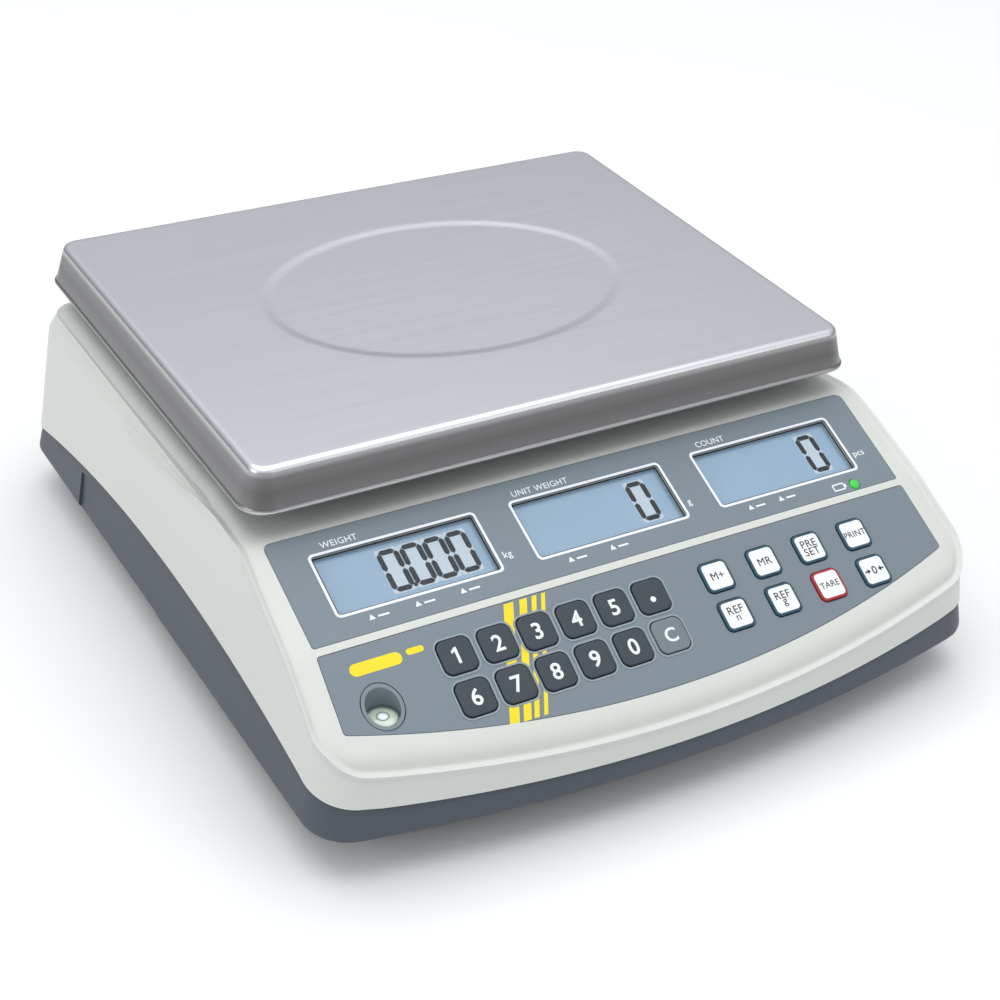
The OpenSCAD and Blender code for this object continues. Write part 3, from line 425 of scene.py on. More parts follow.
def halfOutline(z, inset=0.0):
    rise = z - casing["bottom"]
    half = casing["width"] / 2 - rise * math.tan(math.radians(casing["sideLean"]))
    front = casing["front"] + rise * math.tan(math.radians(casing["frontLean"]))
    rear = casing["rear"] - rise * math.tan(math.radians(casing["rearLean"]))
    r, bow = casing["frontCorner"], casing["frontBow"]
    cx, middle = half - r, front + bow
    cy = middle - math.sqrt((bow - r) ** 2 - cx * cx)
    turn = math.atan2(cx, middle - cy)
    points = []

    def arc(x, y, radius, angle, side):
        points.append((x + (radius - inset) * math.sin(angle), y + side * (radius - inset) * math.cos(angle)))

    for u in range(20):
        arc(0, middle, bow, turn * u / 20, -1)
    for s in range(13):
        arc(cx, cy, r, turn + (math.pi / 2 - turn) * s / 12, -1)
    points += [(half - inset, y) for y in sideStations]
    r, bow = casing["rearCorner"], casing["rearBow"]
    cx, middle = half - r, rear - bow
    cy = middle + math.sqrt((bow - r) ** 2 - cx * cx)
    turn = math.atan2(cx, cy - middle)
    for s in range(15):
        arc(cx, cy, r, math.pi / 2 - (math.pi / 2 - turn) * s / 14, 1)
    for u in range(13, -1, -1):
        arc(0, middle, bow, turn * u / 14, 1)
    return points


halfCount = len(halfOutline(casing["bottom"]))
firstSide, lastSide = 33, 33 + len(sideStations) - 1
ringCount = 2 * (halfCount - 1)


# a ring has the right half's points and their mirror images
def fullRing(half):
    return list(half) + [(-p[0],) + tuple(p[1:]) for p in half[-2:0:-1]]


def mirrored(i):
    return (ringCount - i) % ringCount


def smoothLower(a, b, blend):
    return min(a, b) - max(blend - abs(a - b), 0) ** 2 / (4 * blend)


def topHeight(y):
    display = casing["top"] + (y - panelY) * displaySlope
    keypad = ridgeZ + (y - ridgeY) * keypadSlope
    return smoothLower(smoothLower(casing["top"], display, casing["foldRound"]), keypad, 0.5)


# the joint between the casings: an arch from front to rear, with a sag across the middle of the front
seam = {"sideZ": 48.4, "sideRadius": 764, "ahead": 7.5, "frontZ": 28, "bandX": 140, "gap": 0.75}


def archZ(y):
    return seam["sideZ"] - seam["sideRadius"] + math.sqrt(seam["sideRadius"] ** 2 - (y + seam["ahead"]) ** 2)


def bowY(x):
    return casing["front"] + casing["frontBow"] - math.sqrt(casing["frontBow"] ** 2 - x * x)


seamRise = archZ(bowY(seam["bandX"])) - seam["frontZ"]
seamSag = (seam["bandX"] ** 2 + seamRise ** 2) / (2 * seamRise)


def seamZ(x, y):
    if abs(x) >= seam["bandX"] or y > 0:
        return archZ(y)
    return seam["frontZ"] + seamSag - math.sqrt(seamSag ** 2 - x * x)


def seamRow(inset, lift):
    base = halfOutline(34, inset)
    row = []
    for i, (x, y) in enumerate(base):
        z = seamZ(x, y)
        x, y = halfOutline(z, inset)[i]
        row.append((x, y, z + lift))
    return row


# cap over a ring: one face at each bowed end and straight strips between the sides
def capFaces(start):
    front = [mirrored(i) for i in range(firstSide, 0, -1)] + list(range(firstSide + 1))
    rear = list(range(lastSide, halfCount)) + [mirrored(i) for i in range(halfCount - 2, lastSide - 1, -1)]
    strips = [(i, i + 1, mirrored(i + 1), mirrored(i)) for i in range(firstSide, lastSide)]
    return [tuple(start + i for i in face) for face in [front, rear] + strips]


# rim round the front panel: a fine bead with a groove on its inner side. It starts on the side wall behind
# the panel, climbs to the edge, and passes just under the front edge
rim = {"bead": 1.15, "beadWidth": 0.95, "groove": 1.1, "grooveWidth": 2.2, "ditch": 0.3,
       "startY": 53.6, "behind": 0.16, "ahead": 0.75, "growth": 90, "band": 14.5}
# how far the bead runs below the edge, and how wide the edge is rounded, from front to rear
rimDrop = [(-178, 4.2), (-160, 3.6), (-146, 1.5), (-128, -0.3), (-70, 0.2), (-52, 1.6), (-30, 3.6), (0, 6.8),
           (20, 8.2), (54, 9.6), (140, 10.5), (180, 10.5)]
edgeRounds = [(-178, 7.5), (-162, 6.5), (-150, 3.2), (-140, 1.6), (-84, 1.6), (-60, 4.5), (-40, 10),
              (-20, 13), (180, 13)]
wallSteps, edgeSteps, topSteps = 12, 24, 12


# the height of the casing's top at column i, found in steps because the wall leans
def settledEdge(i, inset=0.0, below=0.0):
    z = 60.0
    for _ in range(30):
        z = topHeight(halfOutline(z, inset)[i][1]) - below
    return z


def along(table, y):
    for (y0, v0), (y1, v1) in zip(table, table[1:]):
        if y <= y1:
            t = max(0, (y - y0) / (y1 - y0))
            return v0 + (v1 - v0) * t * t * (3 - 2 * t)
    return table[-1][1]


def rimRelief(s, share):
    bead = rim["bead"] * math.exp(-(s / rim["beadWidth"]) ** 2)
    depth = max(0, s / rim["grooveWidth"])
    groove = rim["groove"] * depth * math.exp(1 - depth)
    ditch = rim["ditch"] * math.exp(-((s + 2.1) / 0.9) ** 2)
    return share * (bead - groove - ditch)


# one column of the casing's outer surface: up the wall, round the edge and in over the top
def outerColumn(i, start):
    startZ, edgeZ = start[2], settledEdge(i)
    edgeY = halfOutline(edgeZ)[i][1]
    size = along(edgeRounds, edgeY)
    share = rim["behind"]
    if edgeY <= rim["startY"]:
        share = rim["ahead"] + (1 - rim["ahead"]) * min(1, (rim["startY"] - edgeY) / rim["growth"])
    lower = Vector((*halfOutline(edgeZ - size)[i], edgeZ - size))
    corner = Vector((*halfOutline(edgeZ)[i], edgeZ))
    x, y = halfOutline(edgeZ, size)[i]
    upper = Vector((x, y, topHeight(y)))
    first, second = (corner - lower).normalized(), (upper - corner).normalized()
    weight = math.sqrt(max(0.05, (1 + first.dot(second)) / 2))
    line = [Vector(start)]
    for k in range(1, wallSteps):
        z = startZ + (lower.z - startZ) * k / wallSteps
        line.append(Vector((*halfOutline(z)[i], z)))
    for s in range(edgeSteps + 1):
        t = s / edgeSteps
        a, b, c = (1 - t) ** 2, 2 * t * (1 - t) * weight, t * t
        line.append((lower * a + corner * b + upper * c) / (a + b + c))
    for k in range(1, topSteps + 1):
        x, y = halfOutline(edgeZ, size + (rim["band"] - size) * k / topSteps)[i]
        line.append(Vector((x, y, topHeight(y))))
    lengths = [0.0]
    for a, b in zip(line, line[1:]):
        lengths.append(lengths[-1] + (b - a).length)

    def at(s):
        k = 0
        while k < len(line) - 2 and lengths[k + 1] < s:
            k += 1
        return line[k].lerp(line[k + 1], (s - lengths[k]) / (lengths[k + 1] - lengths[k]))

    # the bead's place, as a length along the line
    wanted = edgeZ - along(rimDrop, edgeY)
    k = 0
    while line[k + 1].z < wanted and k < edgeSteps:
        k += 1
    part = min(1, (wanted - line[k].z) / (line[k + 1].z - line[k].z))
    place = min(lengths[edgeSteps], lengths[k] + (lengths[k + 1] - lengths[k]) * part)
    low, high = place - 4.2, min(place + 8.5, lengths[-1] - 1)
    marks = [low * k / 4 for k in range(1, 4)]
    marks += [place + d for d in (-4.2, -3.2, -2.6, -2.1, -1.6, -1.2, -0.8, -0.4, 0)]
    spots = (0.045, 0.09, 0.14, 0.19, 0.25, 0.32, 0.4, 0.5, 0.61, 0.73, 0.86, 1)
    marks += [place + (high - place) * d for d in spots]
    marks += [high + (lengths[-1] - high) * k / 7 for k in range(1, 8)]
    column = [tuple(start)]
    sideways = Vector((corner.x, corner.y, 0)) - Vector((*halfOutline(edgeZ, 5)[i], 0))
    sideways.normalize()
    for s in marks:
        p = at(s)
        tangent = (at(min(s + 0.4, lengths[-1])) - at(s - 0.4)).normalized()
        normal = sideways * tangent.z + Vector((0, 0, 1)) * -tangent.dot(sideways)
        column.append(tuple(p + normal * rimRelief(s - place, share if s < lengths[-1] else 0)))
    return column


def upperRows():
    seamOuter, seamInner = seamRow(0, seam["gap"]), seamRow(1.0, 0.05)
    columns = [[seamInner[i]] + outerColumn(i, seamOuter[i]) for i in range(halfCount)]
    return [[column[r] for column in columns] for r in range(len(columns[0]))]


collar = {"side": 44, "hole": 38, "x": 50, "y": corners("load_cell")[0].y + 15, "height": 4}
pocket = {"x": 85.5, "width": 59, "y": 164.6, "low": 36, "high": 56, "wall": 3}
socketOpenings = [(68, 12.6, 40.2, 51.8), (97, 19.6, 40.45, 51.55)]  # place across, width, bottom, top


def makeUpperCasing():
    wall, top = casing["wall"], casing["top"]
    inner = seamRow(wall, 0.05)
    ceiling = []
    for i in range(halfCount):
        z = settledEdge(i, wall, wall + 0.3)
        ceiling.append((*halfOutline(z, wall)[i], z))
    rows = [fullRing(r) for r in [ceiling, inner] + upperRows()]
    points, faces = loftFrom(rows, False, False)
    faces += [tuple(reversed(f)) for f in capFaces(0)] + capFaces((len(rows) - 1) * ringCount)
    shell = meshFrom("casing_top", points, faces)

    # splash collar round the pillar's opening, and the walls of the socket pocket
    combine(shell, block(collar["side"], collar["side"], 3, collar["x"], collar["y"],
                         top - 2, top + collar["height"]), "UNION")
    box = block(pocket["width"] + 2 * pocket["wall"], 40, 2, pocket["x"], pocket["y"] + 17,
                pocket["low"] - pocket["wall"], pocket["high"] + pocket["wall"])
    inside = [fullRing(seamRow(1.5, 0.3)), fullRing([(x, y, 92) for x, y in halfOutline(80, 1.5)])]
    combine(box, meshFrom("keep", *loftFrom(inside)), "INTERSECT")
    combine(shell, box, "UNION")
    cut(shell, [prism("r", displayOutline(0.3), -1, 6, onDisplay),
                prism("r", keypadOutline(0.3, 1.4), -1, 6, onKeypad)])
    cut(shell, windowHoles(-8, 3) + keyHoles(-8, 3) + [
        block(collar["hole"], collar["hole"], 2, collar["x"], collar["y"], 60, 130),
        block(pocket["width"], 40, 1.5, pocket["x"], pocket["y"] + 20, pocket["low"], pocket["high"])])
    cut(shell, [block(width, 30, 0.6, x, pocket["y"], low, high) for x, width, low, high in socketOpenings])
    return finishPiece(shell, "whiteShell", "base", ["upper_casing"], smooth=50)


# outlines on the two slopes
panelHalf = 141.3


def displayOutline(grow):
    top, low = -0.4 + grow, -49.5 - grow
    upper, lower, result = 3.2, 1.2, []
    for sx, sy, radius, start in ((1, 1, upper, 0), (-1, 1, upper, 90), (-1, -1, lower, 180),
                                  (1, -1, lower, 270)):
        cx, cy = sx * (panelHalf + grow - radius), (top - radius if sy > 0 else low + radius)
        for s in range(7):
            angle = math.radians(start + 15 * s)
            result.append((cx + radius * math.cos(angle), cy + radius * math.sin(angle)))
    return result


def keypadOutline(grow, radius):
    bow, end, flare = 479 + grow, 55.8, 3.7
    centre = 479 - end

    def edgeX(y):
        return panelHalf + grow + flare * (-y - 1.9) / 59.9
    corner = -33.8 - grow
    right = [(edgeX(-1.9 + grow) - radius, -1.9 + grow)]
    for s in range(1, 6):
        angle = math.pi / 2 * (1 - s / 5)
        right.append((edgeX(-3) - radius + radius * math.cos(angle),
                      -1.9 + grow - radius + radius * math.sin(angle)))
    right.append((edgeX(corner + 1.5), corner + 1.5))
    x = edgeX(corner) - 1.5
    a, b = Vector((edgeX(corner + 1.5), corner + 1.5)), Vector((edgeX(corner), corner))
    c = Vector((x, centre - math.sqrt(bow ** 2 - x ** 2)))
    for s in range(1, 5):
        t = s / 4
        p = a * (1 - t) ** 2 + b * 2 * t * (1 - t) + c * t * t
        right.append((p.x, p.y))
    x = right[-1][0]
    for s in range(1, 25):
        xs = x * (1 - s / 25)
        right.append((xs, centre - math.sqrt(bow ** 2 - xs ** 2)))
    right.append((0, centre - bow))
    return right + [(-p[0], p[1]) for p in right[-2::-1]]


window = {"width": 71.5, "height": 27.4, "corner": 1.2, "pitch": 89.8, "drop": 25, "line": 1.1}
windowX = [-window["pitch"], 0, window["pitch"]]
lamp = {"x": 119.8, "y": -46.4, "hole": 2.7}
levelLow, levelHigh = corners("spirit_level_vial")
level = {"x": (levelLow.x + levelHigh.x) / 2, "y": (levelLow.y + levelHigh.y) / 2, "hole": 8.7}
digitKey = {"size": 14.4, "left": 88.4, "pitch": 17.9, "rowDrop": 17.2, "rowPitch": 18}
functionKey = {"size": 13.6, "right": 33.7, "pitch": 24}
keyOpening = {"gap": 0.7, "corner": 3.1}
digitNames = ["1", "2", "3", "4", "5", "point", "6", "7", "8", "9", "0", "clear"]
functionNames = ["memory_add", "memory_recall", "preset", "print", "ref_count", "ref_weight", "tare", "zero"]
keys = []
for names, sizes, first, across in ((digitNames, digitKey, -digitKey["left"], 6),
                                    (functionNames, functionKey, functionKey["right"], 4)):
    for i, label in enumerate(names):
        keys.append({"node": "key_" + label, "dark": sizes is digitKey, "size": sizes["size"],
                     "x": first + i % across * sizes["pitch"],
                     "y": -digitKey["rowDrop"] - i // across * digitKey["rowPitch"]})



def windowHoles(low, high):
    holes = [block(window["width"], window["height"], window["corner"], x, -window["drop"],
                   low, high, onDisplay) for x in windowX]
    return holes + [rod(lamp["hole"], lamp["x"], lamp["y"], low, high, onDisplay)]


def keyHoles(low, high):
    holes = []
    for key in keys:
        side = key["size"] + keyOpening["gap"]
        holes.append(block(side, side, keyOpening["corner"], key["x"], key["y"], low, high, onKeypad))
    return holes + [rod(level["hole"], level["x"], level["y"], 30, 90)]


makeUpperCasing()
print("upper casing made")


# lower casing: a tray with a rounded underside edge and a hand grip along each side
tray = {"edgeRound": 3.0, "floor": 3.0, "undercut": 0.7}
grip = {"front": 3, "rear": 98, "top": 3.5, "depth": 1.5, "stations": 9}
switchOpening = {"width": 19.6, "depth": 13.6, "corner": 0.8, "x": 120, "y": -60}
screwSeat = {"head": 4.05, "headDepth": 2.9, "shank": 2.3}
footHole = 4.4


# an opening round a carried part, 0.3 mm wider on each side
def roomFor(node, radius, low, high):
    a, b = corners(node)
    return block(b.x - a.x + 0.6, b.y - a.y + 0.6, radius, 0, (a.y + b.y) / 2, low, high)


def makeLowerCasing():
    bottom, wall = casing["bottom"], casing["wall"]
    columns = []
    seamOuter, seamInner = seamRow(tray["undercut"], -seam["gap"]), seamRow(1.2, -0.05)
    for i in range(halfCount):
        startZ = seamOuter[i][2]
        column = [seamInner[i], seamOuter[i]]
        foot = bottom + tray["edgeRound"]
        for k in range(1, 6):
            z = startZ + (foot - startZ) * k / 5
            column.append((*halfOutline(z, tray["undercut"] * (1 - k / 5))[i], z))
        for s in range(1, 7):
            angle = math.pi / 2 * s / 6
            z = foot - tray["edgeRound"] * math.sin(angle)
            column.append((*halfOutline(z, tray["edgeRound"] * (1 - math.cos(angle)))[i], z))
        column.append((*halfOutline(bottom, 6)[i], bottom))
        columns.append(column)
    outer = [[column[r] for column in columns] for r in range(len(columns[0]))]
    floorZ = bottom + tray["floor"]
    lowest = [(*halfOutline(floorZ, wall + 1.5)[i], floorZ) for i in range(halfCount)]
    # the locating lip stands up inside the seam
    lip = [seamRow(wall + grow, lift) for grow, lift in ((1.8, -1.0), (1.8, 3.0), (0.3, 3.0), (0.3, -0.05))]
    shell = meshFrom("casing_bottom", *loftFrom([fullRing(r) for r in [lowest] + lip + outer]))
    cutters = []
    for side in (-1, 1):
        rows = []
        for k in range(grip["stations"]):
            y = grip["front"] + (grip["rear"] - grip["front"]) * k / (grip["stations"] - 1)
            top = archZ(y) - grip["top"]
            xTop = side * (halfOutline(top)[firstSide][0] - grip["depth"])
            xLow = side * (halfOutline(bottom - 5)[firstSide][0] - grip["depth"])
            rows.append([(xLow, y, bottom - 5), (side * 175, y, bottom - 5),
                         (side * 175, y, top), (xTop, y, top)])
        cutters.append(meshFrom("grip", *loftFrom(rows)))
    cut(shell, cutters)
    holes = []
    for where in footPlaces:
        a, b = corners("foot_screw_" + where)
        holes.append(rod(footHole, (a.x + b.x) / 2, (a.y + b.y) / 2, 0, 40))
    cut(shell, holes + [roomFor("battery", 1, 0, 40), block(*switchOpening.values(), 0, 40)])
    seats = [roomFor("battery_cover", 1.4, bottom - 5, bottom + 1.6)]
    for side in (-1, 1):
        for x, y in screwPlaces:
            head = bottom + screwSeat["headDepth"]
            seats.append(rod(screwSeat["head"], side * x, y, bottom - 5, head))
            seats.append(rod(screwSeat["shank"], side * x, y, head + 0.05, 40))
    cut(shell, seats)
    return finishPiece(shell, "greyShell", "base", ["lower_casing"], smooth=32)


footPlaces = ("front_left", "front_right", "rear_left", "rear_right")
screwPlaces = [(144, bowY(140) + 21), (145, 10), (131, 150)]
makeLowerCasing()
print("lower casing made")


# weighing plate: pressed sheet with a rolled top edge, a flared skirt, a hem and a shallow oval step
plateLow, plateHigh = corners("weighing_plate")
plate = {"sheet": 1.0, "flare": 5.3, "bend": 2.3, "corner": 7, "hem": 0.7, "ovalX": 83.6, "ovalY": 61,
         "step": 0.55, "stepWidth": 6.5}


def makePlate():
    cx, cy = 0, (plateLow.y + plateHigh.y) / 2
    wide, deep = plateHigh.x - plateLow.x, plateHigh.y - plateLow.y
    low, high = plateLow.z, plateHigh.z
    flare, sheet = plate["flare"], plate["sheet"]

    def square(inset, z, radius):
        return [(x, y, z) for x, y in evenRect(wide - 2 * inset, deep - 2 * inset, max(radius, 1.2), cx, cy)]

    def lean(z):
        return flare * (z - low) / (high - low)

    bend = plate["bend"]
    start = Vector((lean(high - bend), high - bend))
    corner, end = Vector((flare, high)), Vector((flare + bend, high))
    rows = []
    inside = high - sheet
    for inset, z in ((flare + sheet + 5, inside), (flare + sheet + 2.4, inside),
                     (flare + sheet + 0.9, inside - 0.5), (flare + sheet + 0.25, inside - 1.6),
                     (lean(low + 8) + sheet, low + 8), (lean(low + 1.6) + sheet, low + 1.6),
                     (1.5 + plate["hem"], low + 1.2), (1.5 + plate["hem"], low + 0.3), (1.1, low), (0.3, low),
                     (0, low + 0.35), (0, low + 0.9),
                     (lean(low + 1.4) + 0.35, low + 1.4), (lean(low + 2.2) + 0.35, low + 2.2)):
        rows.append(square(inset, z, plate["corner"] + flare - inset))
    for k in range(1, 4):
        z = low + 2.2 + (high - bend - low - 2.2) * k / 4
        rows.append(square(lean(z) + 0.35 * (1 - k / 4), z, plate["corner"] + flare - lean(z)))
    for s in range(9):
        t = s / 8
        a, b, c = (1 - t) ** 2, 2 * t * (1 - t) * 0.78, t * t
        p = (start * a + corner * b + end * c) / (a + b + c)
        rows.append(square(p.x, p.y, plate["corner"] + flare - p.x))
    edge = rows[-1]
    rows.append(square(flare + bend + 2, high, plate["corner"] - bend - 2))
    angles = [math.atan2((y - cy) / (deep / 2), (x - cx) / (wide / 2)) for x, y, z in edge]

    def oval(grown, z, share=1.0):
        return [(cx + (plate["ovalX"] + grown) * share * math.cos(a),
                 cy + (plate["ovalY"] + grown) * share * math.sin(a), z) for a in angles]

    for share in (0.3, 0.65, 0.9):
        rows.append([(p[0] * (1 - share) + q[0] * share, p[1] * (1 - share) + q[1] * share, high)
                     for p, q in zip(edge, oval(4, high))])
    steps = 8
    for s in range(steps + 1):
        t = s / steps
        rows.append(oval(plate["stepWidth"] * (0.5 - t), high - plate["step"] * t * t * (3 - 2 * t)))
    rows += [oval(0, high - plate["step"], share) for share in (0.92, 0.6, 0.3)]
    obj = meshFrom("plate_sheet", *loftFrom(rows))
    return finishPiece(obj, "steel", "plate", ["weighing_plate"], smooth=50)


# painted shade and reflection on the plate: the skirt's colour is darkened in warm bands by height, standing
# in for the dark reflections it shows, while the polished top and its rolled edge stay light
def paintSkirtShade(material, low, high):
    nodes = material.node_tree.nodes
    apart = addNode(nodes, "ShaderNodeSeparateXYZ")
    height = addNode(nodes, "ShaderNodeMapRange", {"From Min": low * mm, "From Max": high * mm})
    shade = addNode(nodes, "ShaderNodeValToRGB")
    stops = shade.color_ramp.elements
    stops[0].color, stops[1].color = (0.8, 0.78, 0.75, 1), (1, 1, 1, 1)
    stops[1].position = 0.95
    # painted shade bands: light at the hem, dark across the middle of the skirt, light again at the rolled
    # edge
    for at, value in ((0.1, 0.36), (0.45, 0.28), (0.76, 0.38), (0.87, 0.8)):
        stops.new(at).color = (value, value * 0.975, value * 0.94, 1)
    mixed = addNode(nodes, "ShaderNodeMix", {"Factor": 1}, data_type="RGBA", blend_type="MULTIPLY")
    wire(material.node_tree, (firstNode(material, "TEX_COORD"), "Object", apart, "Vector"),
         (apart, "Z", height, "Value"), (height, "Result", shade, "Fac"),
         (firstNode(material, "VALTORGB"), "Color", mixed, "A"), (shade, "Color", mixed, "B"),
         (mixed, "Result", nodes["Principled BSDF"], "Base Color"))


paintSkirtShade(finishes["steel"], plateLow.z, plateHigh.z)
makePlate()
print("weighing plate made")


# overlays: thin film sheets let into the casing, with openings for windows, lamp, keys and level
film = {"seat": -1.0, "face": -0.2, "ink": 0.07}


printed = (film["face"], film["face"] + film["ink"])


def makeFilm(name, outline, place, holes, node):
    sheet = cut(prism(name, outline, film["seat"], film["face"], place), holes)
    soften(sheet, 0.16, 2, 50)
    return finishPiece(sheet, "greyFilm", "base", [node])


makeFilm("film_display", displayOutline(0), onDisplay, windowHoles(-3, 2), "display_overlay")
makeFilm("film_keypad", keypadOutline(0, 1.2), onKeypad, keyHoles(-3, 2), "keypad_overlay")
print("overlays made")


# a flat frame line round an outline, made as a thin raised band
def bandLoop(outer, inner, low, high):
    rows = [[(x, y, z) for x, y in line]
            for line, z in ((inner, low), (outer, low), (outer, high), (inner, high))]
    points, faces = loftFrom(rows, False, False)
    count = len(outer)
    faces += [(3 * count + i, 3 * count + (i + 1) % count, (i + 1) % count, i) for i in range(count)]
    return points, faces


def makeText(words, size, place, x, y, low, thick=0.07, weight=0.0):
    curve = bpy.data.curves.new("label", "FONT")
    curve.body = words
    curve.size = size
    curve.extrude = thick / 2
    curve.offset = weight
    curve.align_x = "CENTER"
    curve.align_y = "CENTER"
    curve.resolution_u = 4
    curve.space_character = 1.05
    obj = addObject("label", curve)
    data = bpy.data.meshes.new_from_object(obj.evaluated_get(bpy.context.evaluated_depsgraph_get()))
    bpy.data.objects.remove(obj)
    highest, lowest = max(v.co.y for v in data.vertices), min(v.co.y for v in data.vertices)
    middle = (highest + lowest) / 2
    for v in data.vertices:
        v.co = (place @ Vector((x + v.co.x, y + v.co.y - middle, low + thick / 2 + v.co.z))) * mm
    shape = bmesh.new()
    shape.from_mesh(data)
    bmesh.ops.remove_doubles(shape, verts=shape.verts, dist=1e-7)
    bmesh.ops.recalc_face_normals(shape, faces=shape.faces)
    shape.to_mesh(data)
    shape.free()
    return addObject("label", data)


def bar(x0, y0, x1, y1, width, low, high, place):
    a, b = Vector((x0, y0)), Vector((x1, y1))
    side = Vector((-(b - a).y, (b - a).x)).normalized() * width / 2
    outline = [a + side, a - side, b - side, b + side]
    return prism("bar", [(p.x, p.y) for p in outline], low, high, place)


def printedPiece(name, parts, ink):
    return finishPiece(join(name, parts), ink, "base")


# seven-segment figures on the displays
figures = {"width": 7.4, "height": 17.6, "pitch": 10.1, "stroke": 2.3, "gap": 0.15, "start": 31.2,
           "end": 13.3, "low": -3.0, "high": -2.9}


def makeFigures():
    black, pale = [], []
    levels = figures["low"], figures["high"]

    def zeroAt(x, y):
        half, tall, tip = figures["width"] / 2, figures["height"] / 2, figures["stroke"] / 2
        turns = [(-half, tall), (half, tall), (half, 0), (half, -tall), (-half, -tall), (-half, 0)]
        for a, b in zip(turns, turns[1:] + turns[:1]):
            a, b = Vector(a), Vector(b)
            ahead = (b - a).normalized()
            across = Vector((-ahead.y, ahead.x)) * figures["stroke"] / 2
            a, b = a + ahead * figures["gap"], b - ahead * figures["gap"]
            outline = [a, a + ahead * tip - across, b - ahead * tip - across,
                       b, b - ahead * tip + across, a + ahead * tip + across]
            black.append(prism("seg", [(x + p.x, y + p.y) for p in outline], *levels, onDisplay))
        # a pale patch behind each figure, with painted glow
        pale.append(block(figures["width"] + 2.6, figures["height"] + 3.4, 1.2, x, y,
                          figures["low"] - 0.02, figures["low"] + 0.04, onDisplay))

    y = -window["drop"] + 0.2
    right = window["width"] / 2
    firstX = windowX[0] - right + figures["start"]
    for i in range(4):
        zeroAt(firstX + i * figures["pitch"], y)
    black.append(block(1.7, 1.7, 0.5, firstX + figures["pitch"] / 2, y - figures["height"] / 2 + 0.2,
                       *levels, onDisplay))
    for x in windowX[1:]:
        zeroAt(x + right - figures["end"], y)
    finishPiece(join("display_figures", black), "blackInk", "base")
    finishPiece(join("display_glow", pale), "lcdGlow", "base")


makeFigures()

# window panes, the frame lines round them and the small labels
def windowFrame(x, outside, outerRadius, inside, innerRadius, low, high):
    outer, inner = [roundedRect(window["width"] + grow, window["height"] + grow, radius, x, -window["drop"])
                    for grow, radius in ((outside, outerRadius), (inside, innerRadius))]
    return meshFrom("frame", *bandLoop(outer, inner, low, high), onDisplay)


pane = join("window_panes", [block(window["width"] - 0.6, window["height"] - 0.6, 1, x, -window["drop"],
                                   -2.3, -1.5, onDisplay) for x in windowX])
soften(pane, 0.2, 2, 50)
finishPiece(pane, "clearPane", "base", ["display_lenses"])

lines, shades = [], []
for x in windowX:
    lines.append(windowFrame(x, 0.5 + 2 * window["line"], 2.3, 0.5, 1.4, *printed))
    # a thin black band on each pane just inside the window's edge: painted shade standing in for the shadow
    # of the window's recess
    shades.append(windowFrame(x, -0.1, 1.1, -1.5, 0.9, -1.5, -1.42))
printedPiece("window_edges", shades, "blackInk")
# words above the windows and units beside them: window, distance along, height, size
labels = [(0, -22, -7.1, 4.0, "WEIGHT"), (1, -20, -7.1, 4.0, "UNIT WEIGHT"), (2, -24, -7.1, 4.0, "COUNT"),
          (0, 41.2, -33.5, 4.4, "kg"), (1, 40.2, -33.5, 4.4, "g"), (2, 41.5, -33.0, 4.4, "pcs")]
for n, x, y, size, words in labels:
    lines.append(makeText(words, size, onDisplay, windowX[n] + x, y, film["face"], weight=0.02))

# small pointer marks under the windows: a triangle and a dash
markY = -43.6
for n, x in ((0, -24), (0, -4), (0, 16), (1, -24), (1, -4), (2, -24), (2, -8)):
    x += windowX[n]
    angles = [math.radians(90 + 120 * k) for k in range(3)]
    triangle = [(x + 1.6 * math.cos(a), markY + 1.6 * math.sin(a)) for a in angles]
    lines.append(prism("mark", triangle, *printed, onDisplay))
    lines.append(bar(x + 2.6, markY, x + 7.4, markY, 0.8, *printed, onDisplay))
# outline of a battery cell beside the charging lamp
cellX, cellY = lamp["x"] - 8.2, lamp["y"] + 0.6
outer, inner = roundedRect(6.2, 3.6, 0.7, cellX, cellY), roundedRect(5.0, 2.4, 0.4, cellX, cellY)
lines.append(meshFrom("cell", *bandLoop(outer, inner, *printed), onDisplay))
lines.append(bar(lamp["x"] - 5.1, cellY, lamp["x"] - 4.3, cellY, 1.5, *printed, onDisplay))
printedPiece("display_print", lines, "whiteInk")
print("displays made")


# geometry nodes: copies of one small shape on chosen points, turned with the point's own angle
def scatterTree(name):
    tree = bpy.data.node_groups.new(name, "GeometryNodeTree")
    for socket, kind in (("Geometry", "Geometry"), ("Shape", "Object"), ("Size", "Float"),
                         ("Finish", "Material")):
        tree.interface.new_socket(socket, in_out="INPUT", socket_type="NodeSocket" + kind)
    tree.interface.new_socket("Geometry", in_out="OUTPUT", socket_type="NodeSocketGeometry")
    start, end = tree.nodes.new("NodeGroupInput"), tree.nodes.new("NodeGroupOutput")
    shape = tree.nodes.new("GeometryNodeObjectInfo")
    turn = addNode(tree.nodes, "GeometryNodeInputNamedAttribute", {"Name": "turn"}, data_type="FLOAT_VECTOR")
    place = tree.nodes.new("GeometryNodeInstanceOnPoints")
    real = tree.nodes.new("GeometryNodeRealizeInstances")
    paint = tree.nodes.new("GeometryNodeSetMaterial")
    wire(tree, (start, "Geometry", place, "Points"), (start, "Shape", shape, "Object"),
         (shape, "Geometry", place, "Instance"), (turn, "Attribute", place, "Rotation"),
         (start, "Size", place, "Scale"), (place, "Instances", real, "Geometry"),
         (real, "Geometry", paint, "Geometry"), (start, "Finish", paint, "Material"),
         (paint, "Geometry", end, "Geometry"))
    return tree


copiesOnPoints = scatterTree("copiesOnPoints")


